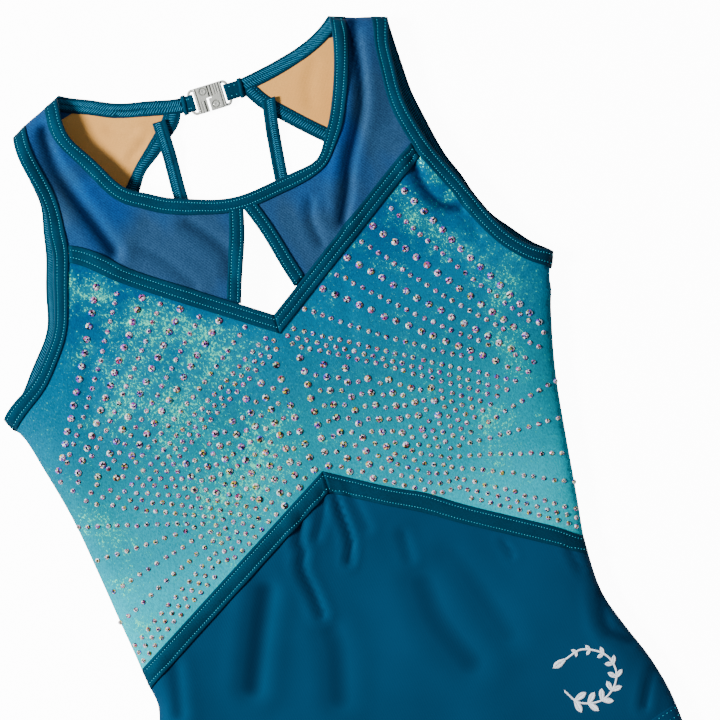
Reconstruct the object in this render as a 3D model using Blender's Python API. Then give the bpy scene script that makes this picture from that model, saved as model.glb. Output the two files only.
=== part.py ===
"""Gymnastics leotard, lying flat on its back with the front up.

The garment is cut and sewn from separate pieces: power-mesh yokes with nude linings, a shiny
bodice, a plain brief, folded bindings round every free edge, strips over the chest and waist
seams, two back straps, a clear clasp with its two tabs, leg hems with elastic, and seam bundles.
Pattern points below are millimetres on the flat garment: x across it and y up it, with y = 0 at
the underarm. The model itself is in metres, standing on z = 0, with its origin under the middle.
"""

import itertools
import math

import bmesh
import bpy
from mathutils import Vector
from mathutils.geometry import delaunay_2d_cdt

MM = 0.001
UNDERARM_Y = 132.0            # model y of the underarm line

# Outlines of the right half, from the wearer's front as it lies
SIDE_SEAM = [(157, 2), (151, -8), (147, -25), (142, -45), (138, -65), (134, -95), (131, -120),
             (127.5, -148), (126.5, -170), (128, -186), (134, -204), (142, -225), (147, -245),
             (149, -264)]
SHOULDER = [(78, 166), (90, 160), (100, 156), (108, 153)]
FRONT_NECK = [(0, 84), (20, 86), (38, 89.5), (50, 98), (59, 107), (66, 121), (72, 137),
              (76, 152), (78, 166)]
BACK_NECK = [(20, 146), (30, 147.5), (40, 149.5), (50, 152.5), (60, 156.5), (70, 161), (78, 166)]
FRONT_ARMHOLE = [(105, 154.1), (104, 130), (103, 112), (104, 98), (107, 83), (112, 68),
                 (117, 56), (125, 40), (136, 22), (147, 10), (157, 2)]
BACK_ARMHOLE = [(108, 153), (108, 130), (108, 112), (110, 98), (113, 83), (118, 65), (124, 50),
                (131, 36), (142, 20), (151, 9), (157, 2)]
FRONT_LEG = [(149, -264), (135, -268), (118, -277), (98, -294), (78, -318), (60, -348),
             (47, -380), (38, -408), (35, -430)]
BACK_LEG = [(149, -264), (138, -270), (125, -281), (110, -298), (92, -322), (73, -352),
            (55, -384), (41, -410), (35, -430)]
CROTCH_Y = -430.0
CROTCH_HALF = 35.0
GUSSET_TOP = -345.0

# Straight lines across the garment: height at the centre line and slope towards the side
CHEST_TOP, CHEST_SLOPE = 16.0, 0.69
WAIST_TOP, WAIST_SLOPE = -74.0, -0.59
BACK_V_TOP, BACK_V_SLOPE = 8.0, 0.698
KEYHOLE_APEX = (0.25, 75.6)
KEYHOLE_FOOT = (15.4, 27.05)
BACK_DIAGONAL = [(91, 71.95), (75, 82), (54, 99.5), (35, 118), (26, 128)]
DIAGONAL_TOP_LEFT = (18.4, 137.3)
DIAGONAL_TOP_RIGHT = (21.3, 136.9)
BAND_END_LEFT = 14.5
BAND_END_RIGHT = 21.0

# Fabric and trim
CLOTH = 0.8                   # thickness of a panel
LINING = 0.5
LINING_GAP = 0.6              # linings hang a little clear of the cloth
GAP = 0.3                     # clearance between touching pieces
BINDING = 8.0                 # width of a folded binding
BINDING_HALF = 1.5            # half its thickness
FOLD_WALL = 0.9               # cloth at the folded edge of a binding
STRIP_DROP = 11.0             # chest strip's height on the centre line
WAIST_DROP = 10.0
HEM = 10.0                    # width of the leg hem
HEM_WALL = 0.6
ELASTIC = 0.6                 # thickness of the leg elastic
ELASTIC_START = 0.14          # the elastic's edges, as parts of the hem's width
ELASTIC_END = 0.9
EDGE_INSET = 1.2              # from a bound edge in to the panel's cut edge
LINING_CLEAR = 0.8            # from a binding in to the lining's cut edge
LINING_NECK_END = 156.0       # how high a lining reaches beside the neck and beside the armhole
LINING_ARM_END = 152.0
BACK_V_CLEAR = 0.43           # from the back bodice's bound edge up to the yoke
SEAM_WIDTH = 6.0
SEAM_LOW, SEAM_HIGH = 5.6, 9.2
STEP = 9.0                    # spacing of the stations along an edge
GRID = 9.0                    # spacing of a panel's inner points near the folds

# Height of the two layers: they meet near the folds and lie apart in the middle
FOLD_REACH = 36.0
FRONT_FOLD, FRONT_FLAT = 10.0, 13.0
BACK_FOLD, BACK_FLAT = 4.8, 1.5

# Straps: centre line from the back bodice up over the diagonal binding, and height of its middle
STRAP_WIDTH = 7.0
STRAP_HALF = 1.0
LEFT_STRAP = [(-26, 26.9), (-28.3, 60), (-30, 91), (-29.4, 111), (-29.1, 118.5), (-29.2, 136.6)]
RIGHT_STRAP = [(21.5, 23.8), (24, 60), (26.3, 88), (28.6, 108), (29.6, 115.5), (32.3, 131)]
STRAP_HEIGHTS = [1.5, 1.5, 1.5, 2.0, 4.6, 4.6]

# Clasp, about its own centre
CLASP_CENTRE = (1.5, 141.0)
CLASP_HALF_LENGTH = 11.0
CLASP_HALF_WIDTH = 8.0
CLASP_LOW, CLASP_HIGH = 0.2, 4.2
BAR_HALF = 0.8
SLOT_OUTER, SLOT_INNER = 9.2, 6.4
SLOT_HALF = 5.2
TAB_HALF = 4.75
TAB_LOW, TAB_HIGH = 0.3, 3.9
TAB_WALL = 0.7
TAB_END_LEFT, TAB_END_RIGHT = 15.7, 19.2

# Embroidered wreath on the hip: an open ring of stem, with leaves from its foot upwards
SPRIG_STEM = [(91.5, -229), (97.5, -237.5), (109, -240), (118, -235), (122, -226), (118.5, -216),
              (107.5, -210), (97, -212.5)]
SPRIG_HALF = 0.8
LEAF_SPACING = 7.4
LEAF_LENGTH = 8.0
LEAF_HALF = 1.8
LEAF_TURN = 48.0              # degrees between a leaf and its stem

TEAL = (0.002, 0.055, 0.125)
BRIEF_TEAL = (0.002, 0.060, 0.140)
YOKE_BLUE = (0.025, 0.110, 0.290)
BODICE_TEAL = (0.020, 0.250, 0.330)
NUDE = (0.680, 0.430, 0.250)
ELASTIC_WHITE = (0.800, 0.800, 0.780)
CLEAR = (0.800, 0.820, 0.830)
THREAD_WHITE = (0.850, 0.870, 0.880)


def clear_scene():
    for item in list(bpy.data.objects):
        bpy.data.objects.remove(item, do_unlink=True)


def material(name, colour, roughness=0.8, metallic=0.0):
    made = bpy.data.materials.new(name)
    made.use_nodes = True
    shader = made.node_tree.nodes["Principled BSDF"]
    shader.inputs["Base Color"].default_value = (*colour, 1.0)
    shader.inputs["Roughness"].default_value = roughness
    shader.inputs["Metallic"].default_value = metallic
    return made


# ---------------------------------------------------------------- curves on the flat garment

def curve(points, step=STEP):
    """Points about step apart on a smooth curve through the given points."""
    knots = [Vector(point) for point in points]
    first = knots[0] * 2 - knots[1]
    last = knots[-1] * 2 - knots[-2]
    hull = [first] + knots + [last]
    fine = []
    for index in range(1, len(hull) - 2):
        fine += [spline_point(hull[index - 1:index + 3], part / 12) for part in range(12)]
    fine.append(knots[-1])
    return resample(fine, step)


def spline_point(four, t):
    before, start, end, after = four
    return (start * 2 + (end - before) * t
            + (before * 2 - start * 5 + end * 4 - after) * t ** 2
            + (start * 3 - before - end * 3 + after) * t ** 3) / 2


def resample(fine, step):
    lengths = [(after - before).length for before, after in zip(fine, fine[1:])]
    total = sum(lengths)
    count = max(1, round(total / step))
    points = [fine[0]]
    index = 0
    passed = 0.0
    for part in range(1, count):
        target = total * part / count
        while passed + lengths[index] < target:
            passed += lengths[index]
            index += 1
        points.append(fine[index].lerp(fine[index + 1], (target - passed) / lengths[index]))
    points.append(fine[-1])
    return points


def line(start, end, step=STEP):
    return curve([start, end], step)


def right_of(direction):
    return Vector((direction.y, -direction.x)).normalized()


def slant(direction, along, width):
    """Vector across a band of this width, when its end is cut along another direction."""
    cut = Vector(along).normalized()
    return cut * (width / cut.dot(right_of(Vector(direction))))


def band(points, width, start=None, end=None, step=STEP):
    """Stations of a band that lies to the right of a curve: edge point and vector across."""
    path = curve(points, step)
    stations = []
    for index, point in enumerate(path):
        before = path[max(index - 1, 0)]
        after = path[min(index + 1, len(path) - 1)]
        stations.append((point, right_of(after - before) * width))
    if start is not None:
        stations[0] = (path[0], Vector(start))
    if end is not None:
        stations[-1] = (path[-1], Vector(end))
    return stations


def between(upper, lower, step=STEP):
    """Stations of a straight band, from its end points on its upper and its lower edge."""
    count = max(1, round((Vector(upper[1]) - Vector(upper[0])).length / step))
    stations = []
    for part in range(count + 1):
        top = Vector(upper[0]).lerp(Vector(upper[1]), part / count)
        bottom = Vector(lower[0]).lerp(Vector(lower[1]), part / count)
        stations.append((top, bottom - top))
    return stations


def inset(stations, distance, width=BINDING):
    return [point + across * (distance / width) for point, across in stations]


def mirror(items):
    flipped = []
    for item in items:
        if isinstance(item, tuple):
            flipped.append((Vector((-item[0].x, item[0].y)), Vector((-item[1].x, item[1].y))))
        else:
            flipped.append(Vector((-item.x, item.y)))
    return flipped


def meeting(height, slope, path):
    """Where the line y = height + slope * x crosses a path."""
    for before, after in zip(path, path[1:]):
        low = before.y - height - slope * before.x
        high = after.y - height - slope * after.x
        if low * high <= 0:
            return before.lerp(after, low / (low - high))
    raise ValueError("the line misses the path")


def within(path, low, high):
    return [point for point in path if low < point.y < high]


# ---------------------------------------------------------------- height of the two layers

FOLDS = [curve(SIDE_SEAM), curve(SHOULDER),
         [Vector((0, CROTCH_Y)), Vector((CROTCH_HALF, CROTCH_Y))]]


def segment_distance(point, start, end):
    span = end - start
    t = max(0.0, min(1.0, (point - start).dot(span) / span.length_squared))
    return (point - start - span * t).length


def openness(x, y):
    """0 at a side seam, shoulder or crotch fold, and 1 where the layers lie flat."""
    point = Vector((abs(x), y))
    nearest = FOLD_REACH
    for fold in FOLDS:
        for start, end in zip(fold, fold[1:]):
            nearest = min(nearest, segment_distance(point, start, end))
    return math.sin(math.pi / 2 * nearest / FOLD_REACH)


def front(x, y):
    return FRONT_FOLD + (FRONT_FLAT - FRONT_FOLD) * openness(x, y)


def back(x, y):
    return BACK_FOLD + (BACK_FLAT - BACK_FOLD) * openness(x, y)


def floor(x, y):
    return 0.0


# ---------------------------------------------------------------- solids

def place(x, y, z):
    return Vector((x, y + UNDERARM_Y, z)) * MM


def finish(name, mesh, look):
    bmesh.ops.recalc_face_normals(mesh, faces=mesh.faces)
    data = bpy.data.meshes.new(name)
    mesh.to_mesh(data)
    mesh.free()
    data.materials.append(look)
    made = bpy.data.objects.new(name, data)
    bpy.context.scene.collection.objects.link(made)
    return made


def set_origin(made, x, y, z):
    """Put an object's origin at a garment point without moving its mesh."""
    origin = place(x, y, z)
    for vertex in made.data.vertices:
        vertex.co -= origin
    made.location = origin


def sweep(name, stations, profile, caps, height, look):
    """Solid along a band: the profile gives parts of its width, and heights off the layer."""
    mesh = bmesh.new()
    rings = []
    for point, across in stations:
        ring = []
        for part, rise in profile:
            spot = point + across * part
            ring.append(mesh.verts.new(place(spot.x, spot.y, height(spot.x, spot.y) + rise)))
        rings.append(ring)
    count = len(profile)
    for ring, following in zip(rings, rings[1:]):
        for index in range(count):
            after = (index + 1) % count
            mesh.faces.new((ring[index], ring[after], following[after], following[index]))
    for ring in (rings[0], rings[-1]):
        for cap in caps:
            mesh.faces.new([ring[index] for index in cap])
    bmesh.ops.triangulate(mesh, faces=mesh.faces)
    return finish(name, mesh, look)


def channel(name, stations, height, look, width=BINDING, below=BINDING_HALF, above=BINDING_HALF,
            slot_below=CLOTH / 2 + GAP, slot_above=CLOTH / 2 + GAP):
    """Folded binding: a slot that holds a panel's edge, closed along the free edge."""
    wall = FOLD_WALL / width
    profile = [(0, -below), (1, -below), (1, -slot_below), (wall, -slot_below),
               (wall, slot_above), (1, slot_above), (1, above), (0, above)]
    caps = [(0, 1, 2, 3), (0, 3, 4, 7), (4, 5, 6, 7)]
    return sweep(name, stations, profile, caps, height, look)


def flat_band(name, stations, low, high, height, look, start=0.0, end=1.0):
    profile = [(start, low), (end, low), (end, high), (start, high)]
    return sweep(name, stations, profile, [(0, 1, 2, 3)], height, look)


def inside(point, outline):
    crossed = False
    for before, after in zip(outline, outline[1:] + outline[:1]):
        if (before.y > point.y) != (after.y > point.y):
            x = before.x + (after.x - before.x) * (point.y - before.y) / (after.y - before.y)
            if point.x < x:
                crossed = not crossed
    return crossed


def grid_points(outline, spacing):
    """Points inside an outline, closer together near the folds, where the layer curves."""
    points = []
    left = min(point.x for point in outline)
    bottom = min(point.y for point in outline)
    columns = int((max(point.x for point in outline) - left) / spacing) + 1
    rows = int((max(point.y for point in outline) - bottom) / spacing) + 1
    for column in range(columns):
        for row in range(rows):
            spot = Vector((left + (column + 0.5) * spacing, bottom + (row + 0.5) * spacing))
            sparse = column % 5 != 1 or row % 5 != 1
            if sparse and openness(spot.x, spot.y) >= 1.0:
                continue
            if inside(spot, outline) and clear_of(spot, outline, spacing / 2):
                points.append(spot)
    return points


def clear_of(point, outline, distance):
    for before, after in zip(outline, outline[1:] + outline[:1]):
        if segment_distance(point, before, after) < distance:
            return False
    return True


def panel(name, outline, low, high, height, look, spacing=GRID):
    """Sheet of cloth between two heights off its layer."""
    points = outline + grid_points(outline, spacing)
    flat, _, triangles, _, _, _ = delaunay_2d_cdt(points, [], [list(range(len(outline)))], 1, 1e-5)
    mesh = bmesh.new()
    lower = [mesh.verts.new(place(p.x, p.y, height(p.x, p.y) + low)) for p in flat]
    upper = [mesh.verts.new(place(p.x, p.y, height(p.x, p.y) + high)) for p in flat]
    rim = set()
    for triangle in triangles:
        mesh.faces.new([upper[index] for index in triangle])
        mesh.faces.new([lower[index] for index in reversed(triangle)])
        for start, end in zip(triangle, triangle[1:] + triangle[:1]):
            if (end, start) in rim:
                rim.remove((end, start))
            else:
                rim.add((start, end))
    for start, end in sorted(rim):
        mesh.faces.new((upper[end], upper[start], lower[start], lower[end]))
    bmesh.ops.triangulate(mesh, faces=mesh.faces)
    return finish(name, mesh, look)


def boxes(name, parts, look):
    """One closed solid from boxes that share walls; each part is low x, high x, low y, ..."""
    cuts = []
    for axis in range(3):
        cuts.append(sorted({part[2 * axis + end] for part in parts for end in (0, 1)}))
    sizes = [len(cut) - 1 for cut in cuts]
    mesh = bmesh.new()
    corners = {}

    def filled(cell):
        if any(index < 0 or index >= size for index, size in zip(cell, sizes)):
            return False
        middle = [(cut[index] + cut[index + 1]) / 2 for cut, index in zip(cuts, cell)]
        return any(all(part[2 * axis] < middle[axis] < part[2 * axis + 1] for axis in range(3))
                   for part in parts)

    def corner(index):
        if index not in corners:
            x, y, z = (cut[step] for cut, step in zip(cuts, index))
            corners[index] = mesh.verts.new(place(x + CLASP_CENTRE[0], y + CLASP_CENTRE[1], z))
        return corners[index]

    for cell in itertools.product(*(range(size) for size in sizes)):
        for axis, side in itertools.product(range(3), (0, 1)):
            neighbour = list(cell)
            neighbour[axis] += 2 * side - 1
            if not filled(cell) or filled(neighbour):
                continue
            quad = []
            for across, along in ((0, 0), (1, 0), (1, 1), (0, 1)):
                index = list(cell)
                index[axis] += side
                index[(axis + 1) % 3] += across
                index[(axis + 2) % 3] += along
                quad.append(corner(tuple(index)))
            mesh.faces.new(quad)
    bmesh.ops.dissolve_limit(mesh, angle_limit=0.01, verts=mesh.verts, edges=mesh.edges)
    bmesh.ops.triangulate(mesh, faces=mesh.faces)
    return finish(name, mesh, look)


# ---------------------------------------------------------------- edges shared by the pieces

def both_sides(points):
    return [(-x, y) for x, y in reversed(points[1:])] + list(points)


def neck_front_stations():
    climb = Vector(FRONT_NECK[-1]) - Vector(FRONT_NECK[-2])
    along = Vector(SHOULDER[1]) - Vector(SHOULDER[0])
    end = slant(climb, along, BINDING)
    start = Vector((-end.x, end.y))
    return band(both_sides(FRONT_NECK), BINDING, start, end)


def neck_back_stations(end_x):
    climb = Vector(BACK_NECK[-1]) - Vector(BACK_NECK[-2])
    along = (7.52, -3.76)
    points = [(end_x, 145.5 + (end_x - BAND_END_LEFT) * 0.09)]
    points += [point for point in BACK_NECK if point[0] > end_x + 2]
    return band(points, BINDING, (0, -BINDING), slant(climb, along, BINDING))


def armhole_stations(points):
    down = Vector(points[1]) - Vector(points[0])
    along = Vector(SHOULDER[2]) - Vector(SHOULDER[3])
    out = Vector(points[-1]) - Vector(points[-2])
    seam = Vector(SIDE_SEAM[1]) - Vector(SIDE_SEAM[0])
    return band(points, BINDING, slant(down, along, BINDING), slant(out, seam, BINDING))


def leg_stations(points):
    first = Vector(points[1]) - Vector(points[0])
    seam = Vector(SIDE_SEAM[-2]) - Vector(SIDE_SEAM[-1])
    last = Vector(points[-1]) - Vector(points[-2])
    return band(points, HEM, slant(first, seam, HEM), slant(last, (-1, 0), HEM), step=11.0)


def chest_stations(armhole):
    edge = inset(armhole, BINDING + 2 * GAP)
    top = meeting(CHEST_TOP, CHEST_SLOPE, edge)
    bottom = meeting(CHEST_TOP - STRIP_DROP, CHEST_SLOPE, edge)
    half_gap = GAP / 2
    upper = [(half_gap, CHEST_TOP), top]
    lower = [(half_gap, CHEST_TOP - STRIP_DROP), bottom]
    return between(upper, lower)


def waist_stations():
    seam = curve(SIDE_SEAM)
    top = meeting(WAIST_TOP, WAIST_SLOPE, seam)
    bottom = meeting(WAIST_TOP - WAIST_DROP, WAIST_SLOPE, seam)
    half_gap = GAP / 2
    return between([(half_gap, WAIST_TOP), top], [(half_gap, WAIST_TOP - WAIST_DROP), bottom])


def keyhole_stations():
    """From the chest strip up to the neck binding."""
    down = Vector(KEYHOLE_FOOT) - Vector(KEYHOLE_APEX)
    width = right_of(-down) * BINDING
    foot_along = Vector((1, CHEST_SLOPE))
    top_along = Vector((1, 0.04))
    foot = foot_along * (BINDING / foot_along.dot(width.normalized()))
    top = top_along * (BINDING / top_along.dot(width.normalized()))
    foot_point = Vector(KEYHOLE_FOOT)
    top_point = Vector(KEYHOLE_APEX)
    return between([foot_point, top_point], [foot_point + foot, top_point + top])


def diagonal_stations(top):
    """From the back bodice's edge up to the back neck band."""
    points = BACK_DIAGONAL + [top]
    first = Vector(points[1]) - Vector(points[0])
    last = Vector(points[-1]) - Vector(points[-2])
    foot = slant(first, (1, BACK_V_SLOPE), BINDING)
    return band(points, BINDING, foot, slant(last, (1, 0.1), BINDING))


def back_v_stations(armhole):
    edge = inset(armhole, BINDING + 2 * GAP)
    drop = BINDING * math.sqrt(1 + BACK_V_SLOPE ** 2)
    top = meeting(BACK_V_TOP, BACK_V_SLOPE, edge)
    bottom = meeting(BACK_V_TOP - drop, BACK_V_SLOPE, edge)
    half_gap = GAP / 2
    return between([(half_gap, BACK_V_TOP), top], [(half_gap, BACK_V_TOP - drop), bottom])


# ---------------------------------------------------------------- panel outlines

def shoulder_part(start, end):
    return [point for point in curve(SHOULDER, 6.0) if start.x + 2 < point.x < end.x - 2]


def front_yoke_edges(neck, armhole, keyhole, depth):
    """The right yoke's four sides, this far in from its free edges, clockwise from the neck."""
    seam = CHEST_TOP - STRIP_DROP / 2 + GAP
    neck_side = [point for point in inset(neck, depth) if point.x > max(2.0, depth)]
    arm_side = inset(armhole, depth)
    corner = meeting(seam, CHEST_SLOPE, arm_side)
    arm_side = [point for point in arm_side if point.y > corner.y + 2]
    key_side = inset(keyhole, depth)
    foot = meeting(seam, CHEST_SLOPE, [key_side[0] * 2 - key_side[1], key_side[-1]])
    return neck_side, arm_side, line(corner, foot), key_side[1:]


def front_yoke_outline(neck, armhole, keyhole):
    neck_side, arm_side, chest, key_side = front_yoke_edges(neck, armhole, keyhole, EDGE_INSET)
    top = [Vector((2 * GAP, neck_side[0].y))]
    return top + neck_side + shoulder_part(neck_side[-1], arm_side[0]) + arm_side + chest + key_side


def front_lining_outline(neck, armhole, keyhole):
    depth = BINDING + LINING_CLEAR
    neck_side, arm_side, chest, key_side = front_yoke_edges(neck, armhole, keyhole, depth)
    neck_side = [point for point in neck_side if point.y < LINING_NECK_END]
    arm_side = [point for point in arm_side if point.y < LINING_ARM_END]
    return neck_side + arm_side + chest + key_side


def front_bodice_outline(armhole):
    arm_side = inset(armhole, EDGE_INSET)
    chest = CHEST_TOP - STRIP_DROP / 2 - GAP
    waist = WAIST_TOP - WAIST_DROP / 2 + GAP
    return mirrored_outline(body_outline(chest, CHEST_SLOPE, arm_side, waist))


def back_bodice_outline(armhole):
    arm_side = inset(armhole, EDGE_INSET)
    top = BACK_V_TOP - EDGE_INSET * math.sqrt(1 + BACK_V_SLOPE ** 2)
    waist = WAIST_TOP - WAIST_DROP / 2 + GAP
    return mirrored_outline(body_outline(top, BACK_V_SLOPE, arm_side, waist))


def body_outline(top, slope, arm_side, waist):
    corner = meeting(top, slope, arm_side)
    seam = curve(SIDE_SEAM)
    hip = meeting(waist, WAIST_SLOPE, seam)
    edge = line((0, top), corner)
    edge += within(arm_side, -20, corner.y - 2)
    edge += within(seam, hip.y + 3, edge[-1].y - 3)
    return edge + line(hip, (0, waist))


def brief_outline(leg):
    waist = WAIST_TOP - WAIST_DROP / 2 - GAP
    seam = curve(SIDE_SEAM)
    hip = meeting(waist, WAIST_SLOPE, seam)
    leg_side = inset(leg, EDGE_INSET, HEM)
    edge = line((0, waist), hip)
    edge += within(seam, leg_side[0].y + 3, hip.y - 3)
    edge += leg_side
    return mirrored_outline(edge + [Vector((0, CROTCH_Y))])


def mirrored_outline(edge):
    """Close a right half, which starts and ends on the centre line, with its mirror image."""
    return edge + mirror(reversed(edge[1:-1]))


def gusset_outline(leg):
    side = within(inset(leg, HEM + LINING_CLEAR, HEM), CROTCH_Y + 8, GUSSET_TOP)
    return side + mirror(reversed(side))


def back_yoke_edges(neck, armhole, diagonal, depth):
    """The right back yoke's four sides, this far in from its free edges, from the neck band."""
    seam = BACK_V_TOP + BACK_V_CLEAR
    neck_side = inset(neck, depth)[1:]
    arm_side = inset(armhole, depth)
    corner = meeting(seam, BACK_V_SLOPE, arm_side)
    arm_side = [point for point in arm_side if point.y > corner.y + 2]
    diagonal_side = inset(diagonal, depth)
    return neck_side, arm_side, line(corner, diagonal_side[0]), diagonal_side[1:]


def back_yoke_outline(neck, armhole, diagonal):
    neck_side, arm_side, seam, diagonal_side = back_yoke_edges(neck, armhole, diagonal, EDGE_INSET)
    tip = [Vector((diagonal_side[-1].x, neck_side[0].y - 1.0))]
    return tip + neck_side + shoulder_part(neck_side[-1], arm_side[0]) + arm_side + seam + diagonal_side


def back_lining_outline(neck, armhole, diagonal):
    depth = BINDING + LINING_CLEAR
    neck_side, arm_side, seam, diagonal_side = back_yoke_edges(neck, armhole, diagonal, depth)
    diagonal_side = diagonal_side[:-1]
    first = diagonal_side[-1].x + 2
    neck_side = [point for point in neck_side if point.x > first and point.y < LINING_NECK_END]
    arm_side = [point for point in arm_side if point.y < LINING_ARM_END]
    return neck_side + arm_side + seam + diagonal_side


def sprig_outline():
    """Ring of stem with pairs of pointed leaves and one at its tip, as one closed outline."""
    stem = curve(SPRIG_STEM, LEAF_SPACING)
    sides = {1: [], -1: []}
    for index, point in enumerate(stem[:-1]):
        along = (stem[index + 1] - point).normalized()
        size = 1.0 - 0.07 * index
        for hand, side in sides.items():
            base = point + right_of(along) * (SPRIG_HALF * hand)
            side.append(base)
            if index > 0:
                side += leaf(base, along, hand, size)
    along = (stem[-1] - stem[-2]).normalized()
    across = right_of(along)
    tip = [stem[-1] + across * SPRIG_HALF, stem[-1] + across * LEAF_HALF + along * 4,
           stem[-1] + along * LEAF_LENGTH, stem[-1] - across * LEAF_HALF + along * 4,
           stem[-1] - across * SPRIG_HALF]
    return sides[1] + tip + list(reversed(sides[-1]))


def leaf(base, along, hand, size):
    """Outline of a leaf on the stem's right (hand 1) or left, from its lower side to its upper."""
    angle = math.radians(-LEAF_TURN * hand)
    axis = Vector((along.x * math.cos(angle) - along.y * math.sin(angle),
                   along.x * math.sin(angle) + along.y * math.cos(angle)))
    side = right_of(axis) * (LEAF_HALF * size * hand)
    reach = axis * (LEAF_LENGTH * size)
    top = base + along * 1.4
    return [base + reach * 0.3 + side * 0.8, base + reach * 0.55 + side,
            base + reach * 0.8 + side * 0.6, base + reach, top + reach * 0.75 - side * 0.5,
            top + reach * 0.5 - side * 0.7, top + reach * 0.25 - side * 0.4, top]


# ---------------------------------------------------------------- the sub-parts

def make_front_yokes(neck, armhole, keyhole, looks):
    cloth = front_yoke_outline(neck, armhole, keyhole)
    lining = front_lining_outline(neck, armhole, keyhole)
    high = -CLOTH / 2 - LINING_GAP
    for side, flip in (("right", list), ("left", mirror)):
        panel("front_yoke_" + side, flip(cloth), -CLOTH / 2, CLOTH / 2, front, looks["yoke"])
        panel("front_yoke_lining_" + side, flip(lining), high - LINING, high, front, looks["nude"])


def make_back_yoke(side, flip, neck, armhole, diagonal, looks):
    cloth = back_yoke_outline(neck, armhole, diagonal)
    lining = back_lining_outline(neck, armhole, diagonal)
    low = CLOTH / 2 + LINING_GAP
    panel("back_yoke_" + side, flip(cloth), -CLOTH / 2, CLOTH / 2, back, looks["yoke"])
    panel("back_yoke_lining_" + side, flip(lining), low, low + LINING, back, looks["nude"])


def make_body_panels(front_arm, back_arm, front_leg, back_leg, looks):
    half = CLOTH / 2
    panel("front_bodice", front_bodice_outline(front_arm), -half, half, front, looks["bodice"])
    panel("back_bodice", back_bodice_outline(back_arm), -half, half, back, looks["bodice"])
    panel("front_brief", brief_outline(front_leg), -half, half, front, looks["brief"])
    panel("back_brief", brief_outline(back_leg), -half, half, back, looks["brief"])
    low = -half - LINING_GAP - LINING
    panel("gusset_lining", gusset_outline(front_leg), low, low + LINING, front, looks["nude"])


def make_strips(chest, waist, looks):
    """Flat strips sewn over the chest seam and, front and back, over the waist seam."""
    low = CLOTH / 2 + GAP
    high = low + CLOTH
    for side, chest_band, waist_band in (("right", chest, waist),
                                         ("left", mirror(chest), mirror(waist))):
        flat_band("chest_binding_" + side, chest_band, low, high, front, looks["binding"])
        flat_band("waist_binding_front_" + side, waist_band, low, high, front, looks["binding"])
        flat_band("waist_binding_back_" + side, waist_band, -high, -low, back, looks["binding"])


def height_along(spots, heights):
    """Height of a piece that climbs along y, from its middle's height at each spot."""
    def height(x, y):
        for before, after, low, high in zip(spots, spots[1:], heights, heights[1:]):
            if y <= after.y:
                part = max(0.0, (y - before.y) / (after.y - before.y))
                return low + (high - low) * part
        return heights[-1]

    return height


def make_straps(looks):
    """Narrow folded straps from the back bodice's edge to the inside of the diagonal bindings."""
    half = Vector((STRAP_WIDTH / 2, 0))
    for side, points, slope in (("left", LEFT_STRAP, -BACK_V_SLOPE),
                                ("right", RIGHT_STRAP, BACK_V_SLOPE)):
        spots = [Vector(point) for point in points]
        stations = [(spot - half, half * 2) for spot in spots]
        foot = Vector((half.x, half.x * slope))
        stations[0] = (spots[0] - foot, foot * 2)
        height = height_along(spots, STRAP_HEIGHTS)
        flat_band("back_strap_" + side, stations, -STRAP_HALF, STRAP_HALF, height, looks["binding"])


def make_leg(name, stations, height, inward, looks):
    """Hem folded over the panel's edge, with the elastic on its inner side (inward is 1 or -1)."""
    near = CLOTH / 2 + GAP
    deep = near + ELASTIC + GAP
    outer_wall = near + HEM_WALL
    inner_wall = deep + HEM_WALL
    low, high = sorted((near * inward, (near + ELASTIC) * inward))
    if inward > 0:
        walls = (outer_wall, inner_wall, near, deep)
    else:
        walls = (inner_wall, outer_wall, deep, near)
    channel("leg_hem_" + name, stations, height, looks["brief"], HEM, *walls)
    flat_band("leg_elastic_" + name, stations, low, high, height, looks["elastic"],
              ELASTIC_START, ELASTIC_END)


def make_seams(looks):
    """Overlocked seam bundles between the layers, along the sides, shoulders and crotch."""
    side_points = [(152.4, -5.6)] + [point for point in SIDE_SEAM if -252 < point[1] < -10]
    side_points.append((148.1, -252.5))
    side = band(side_points, SEAM_WIDTH, step=16.0)
    shoulder = between([(87, 161.4), (96, 157.6)], [(87, 155.4), (96, 151.6)])
    for name, stations in (("side_seam_", side), ("shoulder_seam_", shoulder)):
        flat_band(name + "right", stations, SEAM_LOW, SEAM_HIGH, floor, looks["binding"])
        flat_band(name + "left", mirror(stations), SEAM_LOW, SEAM_HIGH, floor, looks["binding"])
    reach = CROTCH_HALF - HEM - 1.0
    crotch = between([(-reach, CROTCH_Y + SEAM_WIDTH), (reach, CROTCH_Y + SEAM_WIDTH)],
                     [(-reach, CROTCH_Y), (reach, CROTCH_Y)])
    flat_band("crotch_seam", crotch, SEAM_LOW, SEAM_HIGH, floor, looks["binding"])


def sideways(side, inner, outer):
    """Low and high x of a block that reaches from inner to outer on one side of the clasp."""
    return (inner, outer) if side > 0 else (-outer, -inner)


def clasp_frame(side, body_inner):
    """Bar, two arms and body of one clasp half; side is -1 for the left one."""
    middle = (CLASP_LOW + CLASP_HIGH) / 2
    bar = (middle - BAR_HALF, middle + BAR_HALF)
    wide = CLASP_HALF_WIDTH
    arm = sideways(side, SLOT_INNER, SLOT_OUTER)
    return [(*sideways(side, SLOT_OUTER, CLASP_HALF_LENGTH), -wide, wide, *bar),
            (*arm, SLOT_HALF, wide, *bar),
            (*arm, -wide, -SLOT_HALF, *bar),
            (*sideways(side, body_inner, SLOT_INNER), -wide, wide, CLASP_LOW, CLASP_HIGH)]


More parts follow.
